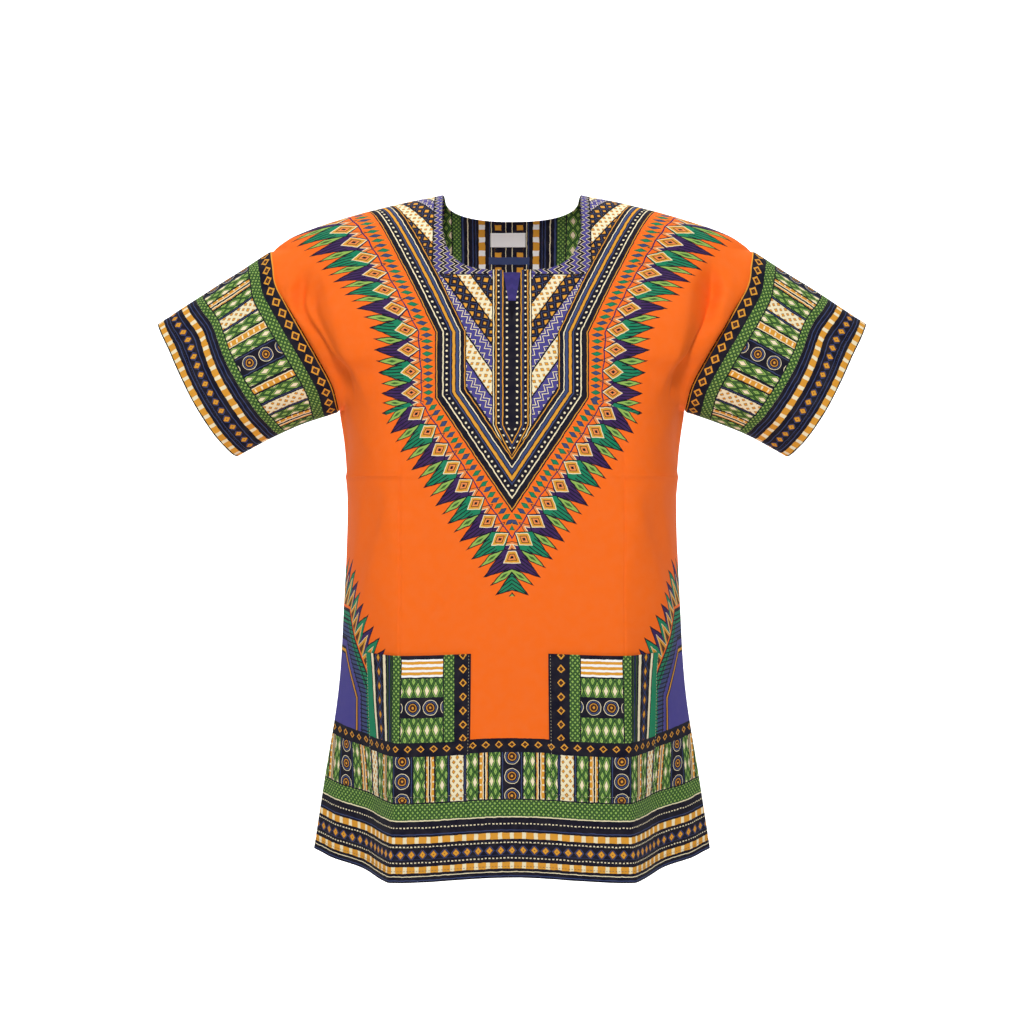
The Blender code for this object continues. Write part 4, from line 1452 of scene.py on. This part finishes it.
def printed_cloth(name, paint):
    """A material whose colour comes from paint(dye, s, t, edge)."""
    dye = Dye(name)
    vector, s, t = dye.uv("cloth")
    edge = dye.uv("edge")[1]
    shake = dye.add("ShaderNodeTexNoise", None, {"Vector": vector, "Scale": 170.0, "Detail": 1.0}, output=1)
    shake = dye.add("ShaderNodeSeparateXYZ", None, {0: shake})
    shake_t = Value(dye, shake.socket.node.outputs[1])
    wander_s = s + (shake - 0.5) * (2 * WANDER)
    wander_t = t + (shake_t - 0.5) * (2 * WANDER)
    colour = paint(dye, wander_s, wander_t, edge)
    uneven = dye.add("ShaderNodeTexNoise", None, {"Vector": vector, "Scale": 90.0, "Detail": 4.0})
    worn = dye.add("ShaderNodeMapRange", None, {0: uneven, 1: 0.35, 2: 0.75, 3: 0.0, 4: 0.025})
    colour = dye.mix(worn, colour, rgb("d8cbb8"))
    warp = s.folded(WEAVE) * (2 / WEAVE)
    weft = t.folded(WEAVE) * (2 / WEAVE)
    slub = dye.add("ShaderNodeTexNoise", None, {"Vector": vector, "Scale": 420.0, "Detail": 2.0})
    height = (warp | weft) * 0.6 + slub * 0.8
    bump = dye.add("ShaderNodeBump", None, {"Strength": 0.16, "Distance": 0.0004, "Height": height})
    rough = dye.add("ShaderNodeMapRange", None, {0: uneven, 1: 0.3, 2: 0.7, 3: 0.74, 4: 0.88})
    dye.tree.links.new(colour.socket, dye.shader.inputs["Base Color"])
    dye.tree.links.new(rough.socket, dye.shader.inputs["Roughness"])
    dye.tree.links.new(bump.socket, dye.shader.inputs["Normal"])
    dye.shader.inputs["Specular IOR Level"].default_value = 0.10
    print(name, len(dye.tree.nodes), "nodes")
    return dye.material


def dress(sheet, material):
    sheet.data.materials.clear()
    sheet.data.materials.append(material)


panel_print = printed_cloth("panel_print", body_print)
dress(front, panel_print)
dress(back, panel_print)

# %% [markdown]
# ## Prints of the smaller pieces
# The pockets go on with the border, so that it runs through, and have strips and blocks above it.
# The sleeves have stripes at the cuff, a row of blocks, and a dark band along the armhole seam.

# %% Pocket, sleeve and facing prints
POCKET_LEAN = -0.02
POCKET_RAILS = 0.1290
POCKET_OVALS = 0.1528


def pocket_print(dye, s, t, edge):
    across = abs(s)
    strip = dye.bands(
        abs(across - 0.0525) + t.folded(0.0145) * 0.95, 0,
        (0.0014, BROWN), (0.0011, NAVY), (0.0018, GOLD), (0.0100, NAVY),
    )
    ribbon = dye.bands(t.folded(0.0110), 0, (0.0013, WHITE), (0.0030, GOLD), (0.0012, WHITE))
    green_block = lozenges(dye, s, t, 0.0096, 0.0205)
    colour = dye.coats(
        ribbon,
        (t < -0.5290, NAVY),
        (t < -0.5305, green_block),
        (t < -0.5500, NAVY),
        (t < -0.5515, targets(dye, across - 0.0116, t + 0.0097, 0.0190)),
        (t < -0.5700, NAVY),
        (t < -0.5715, green_block),
    )
    green = speckle(dye, s, t)
    colour = dye.coats(
        colour,
        (t > -0.5105, NAVY),
        (across < 0.0740, NAVY),
        (across < 0.0728, green),
        (across < 0.0620, strip),
    )
    from_mouth = across - (t + 0.5065) * POCKET_LEAN
    colour = dye.coats(
        colour,
        (from_mouth > 0.1183, NAVY),
        (from_mouth > 0.1195, green),
    )
    rails = dye.bands(
        from_mouth - POCKET_RAILS, 0,
        (0.0018, NAVY), (0.0009, GREEN), (0.0018, NAVY), (0.0009, BLUE), (0.0018, NAVY), (0.0009, GREEN),
        (0.0029, NAVY), (0.0042, CREAM), (0.0172, NAVY), (0.0038, CREAM), (0.0016, NAVY), (0.0400, TEAL),
    )
    oval = dye.bands(
        abs(from_mouth - POCKET_OVALS) * 0.7 + t.folded(0.0150) * 0.42, 0,
        (0.0016, GOLD), (0.0008, BROWN), (0.0008, NAVY), (0.0008, BLUE), (0.0080, NAVY),
    )
    colour = dye.coats(
        colour,
        (from_mouth > POCKET_RAILS, rails),
        (from_mouth.near(POCKET_OVALS, 0.0078), oval),
    )
    return border(dye, s, t + 0.0012, colour)


def sleeve_print(dye, s, t, edge):
    """t is the distance from the cuff, and edge the distance from the armhole."""
    colour = speckle(dye, s, t)
    rows = block_strip(dye, s - 0.012, t - 0.0130, 0.112, 0.0205)
    colour = dye.coats(
        colour,
        ((t > 0.0600) & (edge > 0.0300), NAVY),
        ((t > 0.0612) & (edge > 0.0314), rows),
    )
    stripes = dye.bands(
        t, -0.02,
        (0.0214, NAVY), (0.0064, GOLD), (0.0030, NAVY), (0.0008, BLUE), (0.0030, NAVY), (0.0008, BLUE),
        (0.0020, NAVY), (0.0070, BROWN), (0.0022, NAVY), (0.0008, BLUE), (0.0050, NAVY), (0.0068, GOLD),
        (0.0030, NAVY), (0.0008, BLUE), (0.0036, NAVY), (0.0008, BLUE), (0.0040, NAVY), (0.0011, CREAM),
        (0.0026, NAVY), (0.0014, BLUE), (0.0010, NAVY),
    )
    stripes = dye.coats(
        stripes,
        (t.between(0.0014, 0.0078), gold_dashes(dye, s)),
        (t.between(0.0174, 0.0244), oval_stripe(dye, s, t - 0.0209)),
        (t.between(0.0324, 0.0392), gold_dashes(dye, s - 0.006)),
    )
    colour = dye.mix(t < 0.0515, colour, stripes)
    seam = dye.bands(
        abs(edge - 0.0085) + s.folded(0.0134), 0,
        (0.0020, BROWN), (0.0012, NAVY), (0.0024, GOLD), (0.0140, NAVY),
    )
    return dye.coats(
        colour,
        (edge < 0.0178, NAVY),
        (edge < 0.0170, seam),
        (edge < 0.0012, GOLD),
    )


def facing_print(dye, s, t, edge):
    across = abs(s + 0.0035)
    colour = dye.bands(
        across, 0,
        (0.0030, NAVY), (0.0009, CREAM), (0.0050, NAVY), (0.0076, GOLD), (0.0036, NAVY), (0.0007, CREAM),
        (0.0012, NAVY), (0.0010, BLUE), (0.0050, NAVY), (0.0074, GOLD), (0.0030, NAVY), (0.0008, BLUE),
        (0.0024, NAVY), (0.0014, BLUE), (0.0044, NAVY), (0.0014, CREAM), (0.0040, NAVY), (0.0020, BLUE),
        (0.0012, NAVY), (0.0500, GREEN),
    )
    small = across.between(0.0089, 0.0165)
    colour = dye.mix(small & (t.folded(0.0180) > 0.0036), colour, NAVY)
    large = across.between(0.0280, 0.0354)
    colour = dye.coats(
        colour,
        (large & (t.folded(0.0170) < 0.0034), WHITE),
        (across > 0.0566, speckle(dye, s, t)),
        (across > 0.0662, NAVY),
        (across > 0.0676, lozenges(dye, s, t, 0.0110, 0.0190)),
    )
    bar = (across < 0.0240) & t.between(-0.0650, -0.0560)
    colour = dye.mix(bar, colour, BLUE)
    weave = dye.bands(zigzag(s, t, 0.0090, 0.8, 0.0120), 0, (0.6, VIOLET), (0.4, rgb("4f4798")))
    return dye.mix((across < 0.0180) & (t < -0.0740), colour, weave)


pocket_cotton = printed_cloth("pocket_print", pocket_print)
sleeve_cotton = printed_cloth("sleeve_print", sleeve_print)
facing_cotton = printed_cloth("facing_print", facing_print)
for piece in (pocket_left, pocket_right):
    dress(piece, pocket_cotton)
for piece in (sleeve_left, sleeve_right):
    dress(piece, sleeve_cotton)
dress(facing, facing_cotton)

# %% [markdown]
# ## The label
# The label is a scrap of white woven tape. It is blank. Its ribs run across, and its two
# folded-under ends carry a strip of painted shade, a little darker than the rest.

# %% Label cloth
def label_material():
    dye = Dye("label_tape")
    _, s, t = dye.uv("cloth")
    rib = t.folded(0.0009) * (2 / 0.0009)
    # Painted shade: a slightly darker strip at both ends, standing in for the shade where the tape folds
    # under.
    end_fold_shade = abs(s).between(0.0196, 0.0300)
    colour = dye.mix(end_fold_shade, rgb("fdfdfc"), rgb("e4e3df"))
    colour = dye.mix(rib * 0.06, colour, rgb("cfcdc8"))
    bump = dye.add("ShaderNodeBump", None, {"Strength": 0.4, "Distance": 0.0003, "Height": rib})
    rough = rib * 0.1 + 0.55
    dye.tree.links.new(colour.socket, dye.shader.inputs["Base Color"])
    dye.tree.links.new(bump.socket, dye.shader.inputs["Normal"])
    dye.tree.links.new(rough.socket, dye.shader.inputs["Roughness"])
    return dye.material


dress(label, label_material())

# %% [markdown]
# ## Stitches
# The hem, the cuffs, the neckline and the pockets are sewn with a small straight stitch. One stitch
# is a flat grain. It is made once, and copied along each line.

# %% Stitches
STITCH_PITCH = 0.0034
STITCH_LENGTH = 0.0024
STITCH_WIDTH = 0.0006
STITCH_LIFT = 0.00022


def one_stitch():
    """Points (along, across, out) and faces of a single stitch, modelled at the origin."""
    bpy.ops.object.select_all(action="DESELECT")
    bpy.ops.mesh.primitive_uv_sphere_add(segments=4, ring_count=3, radius=1)
    bpy.ops.object.mode_set(mode="EDIT")
    bpy.ops.mesh.select_all(action="SELECT")
    bpy.ops.mesh.quads_convert_to_tris()
    bpy.ops.transform.resize(value=(STITCH_LENGTH / 2, STITCH_WIDTH / 2, STITCH_LIFT))
    bpy.ops.object.mode_set(mode="OBJECT")
    model = bpy.context.object
    points = np.array([v.co[:] for v in model.data.vertices])
    faces = [tuple(face.vertices) for face in model.data.polygons]
    bpy.data.objects.remove(model)
    return points, np.array(faces)


STITCH_POINTS, STITCH_FACES = one_stitch()
print("one stitch:", len(STITCH_FACES), "faces")


def sewn(line, outward):
    """Points and faces of the stitches along a line, which lie flat on the cloth."""
    steps = np.linalg.norm(np.diff(line, axis=0), axis=1)
    lengths = np.concatenate([[0.0], np.cumsum(steps)])
    count = int(lengths[-1] / STITCH_PITCH)
    middles = (np.arange(count) + 0.5) * lengths[-1] / count

    def read(values, at):
        return np.stack([np.interp(at, lengths, values[:, k]) for k in range(3)], axis=-1)

    way = unit(read(line, middles + 0.0008) - read(line, middles - 0.0008))
    out = unit(read(outward, middles))
    axes = np.stack([way, unit(np.cross(out, way)), out], axis=1)
    points = read(line, middles)[:, None, :] + STITCH_POINTS @ axes
    index = np.arange(count)[:, None, None] * len(STITCH_POINTS) + STITCH_FACES[None]
    return points.reshape(-1, 3), index.reshape(-1, STITCH_FACES.shape[1])


def stitch_piece(name, runs, colour):
    points, faces, total = [], [], 0
    for line, outward in runs:
        p, f = sewn(line, outward)
        points.append(p)
        faces.append(f + total)
        total += len(p)
    mesh = bpy.data.meshes.new(name)
    mesh.from_pydata(np.concatenate(points).tolist(), [], np.concatenate(faces).tolist())
    thread = bpy.data.objects.new(name, mesh)
    bpy.context.scene.collection.objects.link(thread)
    only(thread)
    bpy.ops.object.mode_set(mode="EDIT")
    bpy.ops.mesh.select_all(action="SELECT")
    bpy.ops.mesh.normals_make_consistent(inside=False)
    bpy.ops.object.mode_set(mode="OBJECT")
    dye = Dye(name + "_thread")
    place = dye.add("ShaderNodeTexCoord", None, None, output=3)
    fuzz = dye.add("ShaderNodeTexNoise", None, {"Vector": place, "Scale": 900.0})
    shade = dye.mix(fuzz * 0.5, colour, NAVY)
    dye.tree.links.new(shade.socket, dye.shader.inputs["Base Color"])
    dye.shader.inputs["Roughness"].default_value = 0.6
    dress(thread, dye.material)
    print(name, len(mesh.polygons), "faces")
    return thread


def on_body(panel, u, row, height=0.0002):
    u, row = np.broadcast_arrays(np.asarray(u, float), np.asarray(row, float))
    return body_surface(panel, u, row, height), body_normal(panel, u, row)


def on_sleeve(side, share):
    angle = np.linspace(0, 2 * math.pi, 200)
    p = sleeve_surface(side, angle, np.full_like(angle, share), 0.0002)
    raised = sleeve_surface(side, angle, np.full_like(angle, share), 0.0012)
    return p, raised - p


whole = np.linspace(-0.995, 0.995, 300)
hem_runs = [on_body(panel, whole, HEM_STITCH_ROW) for panel in ("front", "back")]
cuff_runs = [on_sleeve(side, 1 - CUFF_TURN) for side in (-1, 1)]
neck_runs = [on_body("back", np.linspace(-NECK_U, NECK_U, 120), TOP_ROW - 0.9)]
neck_runs += [on_body("front", side * np.linspace(0.045, NECK_U, 120), TOP_ROW - 0.75) for side in (-1, 1)]
pocket_runs = []
for name, side in (("pocket_left", -1), ("pocket_right", 1)):
    inner = CREASE_U * POCKET_INNER_U[name] / SECTIONS[2][2] + 0.008
    outer = POCKET_OUTER_U - 0.008
    low, high = POCKET_ROWS[0] + 0.06, POCKET_ROWS[1] - 0.02
    lift = 2 * CLOTH + LAYER_GAP + 0.0001
    pocket_runs.append(on_body("front", side * inner, np.linspace(low, high, 80), lift))
    pocket_runs.append(on_body("front", side * outer, np.linspace(low, high, 80), lift))
    pocket_runs.append(on_body("front", side * np.linspace(inner, outer, 80), low, lift))
dark_thread = stitch_piece("hem_stitches", hem_runs + cuff_runs + neck_runs, rgb("33304a"))
pocket_thread = stitch_piece("pocket_stitches", pocket_runs, rgb("d9cfa8"))

# %% [markdown]
# ## Hand the pieces to the frame
# Each sheet rides on the shirt's one body, hides the solid that it stands for, and states the size
# of the flat cloth that it was cut from.

# %% Ride, replace and print the sizes
# Sheet, the solid it stands for, slot, flat size and area of the cut that shows.
PIECES = (
    (front, "body_front", "printed_body", (0.587, 0.800), 0.400),
    (back, "body_back", "printed_body", (0.577, 0.806), 0.403),
    (sleeve_left, "sleeve_left", "printed_border", (0.457, 0.168), 0.0690),
    (sleeve_right, "sleeve_right", "printed_border", (0.457, 0.168), 0.0690),
    (pocket_left, "pocket_left", "printed_border", (0.151, 0.149), 0.0214),
    (pocket_right, "pocket_right", "printed_border", (0.156, 0.149), 0.0222),
    (facing, "neck_facing", "printed_border", (0.177, 0.160), 0.0171),
    (label, "neck_label", "label_white", (0.042, 0.016), 0.00067),
)


def one_layer(piece):
    """Half the area of a closed sheet's faces."""
    return sum(face.area for face in piece.data.polygons) / 2


for piece, node, slot_name, flat, area in PIECES:
    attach(piece, "root")
    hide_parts(node)
    print(piece.name, "one layer %.4f m2, cut %.4f m2" % (one_layer(piece), area))
    spans = np.array([loop.uv for loop in piece.data.uv_layers["cloth"].data])
    print("   pattern from", spans.min(axis=0).round(4), "to", spans.max(axis=0).round(4))
for thread in (dark_thread, pocket_thread):
    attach(thread, "root")

# %% [markdown]
# ## Floor and backdrop
# A studio sweep is one pale sheet that curves up behind the subject, so there is no horizon.

# %% Studio sweep
SWEEP_Z = -1.05
SWEEP_FRONT = -4.0
SWEEP_BACK = 2.4
SWEEP_HALF_WIDTH = 5.0
SWEEP_HEIGHT = 4.5
SWEEP_BEND = 0.8


def pick_back_edge(sweep):
    """Selects the level edge that is farthest back."""
    bpy.ops.mesh.select_all(action="DESELECT")
    form = bmesh.from_edit_mesh(sweep.data)
    for edge in form.edges:
        low = all(point.co.z < SWEEP_Z + 0.01 for point in edge.verts)
        edge.select = low and all(point.co.y > SWEEP_BACK - 0.01 for point in edge.verts)
    form.select_flush_mode()
    bmesh.update_edit_mesh(sweep.data)


def studio_sweep():
    bpy.ops.object.select_all(action="DESELECT")
    bpy.ops.mesh.primitive_plane_add(size=2)
    sweep = bpy.context.object
    sweep.name = "studio_sweep"
    bpy.ops.object.mode_set(mode="EDIT")
    bpy.ops.mesh.select_mode(type="EDGE")
    bpy.ops.mesh.select_all(action="SELECT")
    bpy.ops.transform.resize(value=(SWEEP_HALF_WIDTH, (SWEEP_BACK - SWEEP_FRONT) / 2, 1.0))
    bpy.ops.transform.translate(value=(0.0, (SWEEP_BACK + SWEEP_FRONT) / 2, SWEEP_Z))
    pick_back_edge(sweep)
    bpy.ops.mesh.extrude_region_move(TRANSFORM_OT_translate={"value": (0.0, 0.0, SWEEP_HEIGHT)})
    pick_back_edge(sweep)
    bpy.ops.mesh.bevel(offset=SWEEP_BEND, segments=16)
    bpy.ops.object.mode_set(mode="OBJECT")
    sweep.data.shade_smooth()
    print(sweep.name, len(sweep.data.polygons), "faces")
    dye = Dye("studio_paper")
    place = dye.add("ShaderNodeTexCoord", None, None, output=3)
    depth = Value(dye, dye.add("ShaderNodeSeparateXYZ", None, {0: place}).socket.node.outputs[1])
    behind = dye.add("ShaderNodeMapRange", None, {0: depth, 1: 0.1, 2: 0.5, 3: 0.0, 4: 1.0})
    glow = dye.mix(behind, (0, 0, 0, 1), (1, 1, 1, 1))
    dye.tree.links.new(glow.socket, dye.shader.inputs["Emission Color"])
    dye.shader.inputs["Base Color"].default_value = (0.82, 0.82, 0.82, 1)
    dye.shader.inputs["Roughness"].default_value = 0.9
    dye.shader.inputs["Emission Strength"].default_value = 0.75
    dress(sweep, dye.material)


studio_sweep()

# %% [markdown]
# ## Light and camera
# The photograph is a catalogue picture: even light from the front and a camera level with the
# middle of the shirt. A soft key above the camera and a little to the left gives the folds their
# shape, weak lamps at both sides and the back open the rest, and one lights the sweep.

# %% Light and camera
CAMERA_PLACE = (0.0, -2.2, -0.360)
LENS = 68.06
WORLD_LIGHT = 0.10


def soft_light(name, place, target, size, power):
    bpy.ops.object.select_all(action="DESELECT")
    bpy.ops.object.light_add(type="AREA", location=place)
    lamp = bpy.context.object
    lamp.name = name
    lamp.data.shape = "DISK"
    lamp.data.size = size
    lamp.data.energy = power
    away = [t - p for t, p in zip(target, place)]
    flat = math.hypot(away[0], away[1])
    lamp.rotation_euler = (math.atan2(flat, -away[2]), 0.0, math.atan2(-away[0], away[1]))


# Name, place, target, size across and power of each lamp.
LAMPS = (
    ("key", (-0.12, -2.35, 1.00), (0, 0, -0.35), 0.5, 54),
    ("side_left", (-2.4, -0.1, -0.8), (0, 0, -0.55), 0.9, 4.5),
    ("side_right", (2.4, -0.1, -0.8), (0, 0, -0.55), 0.9, 4.5),
    ("back_light", (0.0, 2.3, 0.3), (0, 0, -0.35), 1.2, 12),
    ("sweep_light", (0.0, 0.7, 1.5), (0, 2.2, -0.8), 2.0, 40),
)
for lamp in LAMPS:
    soft_light(*lamp)

world = bpy.data.worlds.new("studio")
bpy.context.scene.world = world
world.use_nodes = True
world.node_tree.nodes["Background"].inputs[0].default_value = (1, 1, 1, 1)
world.node_tree.nodes["Background"].inputs[1].default_value = WORLD_LIGHT

bpy.context.scene.view_settings.view_transform = "Standard"
camera_data = bpy.data.cameras.new("camera")
camera_data.lens = LENS
camera_data.sensor_width = 36
camera = bpy.data.objects.new("camera", camera_data)
bpy.context.scene.collection.objects.link(camera)
camera.location = CAMERA_PLACE
camera.rotation_euler = (math.pi / 2, 0, 0)
bpy.context.scene.camera = camera
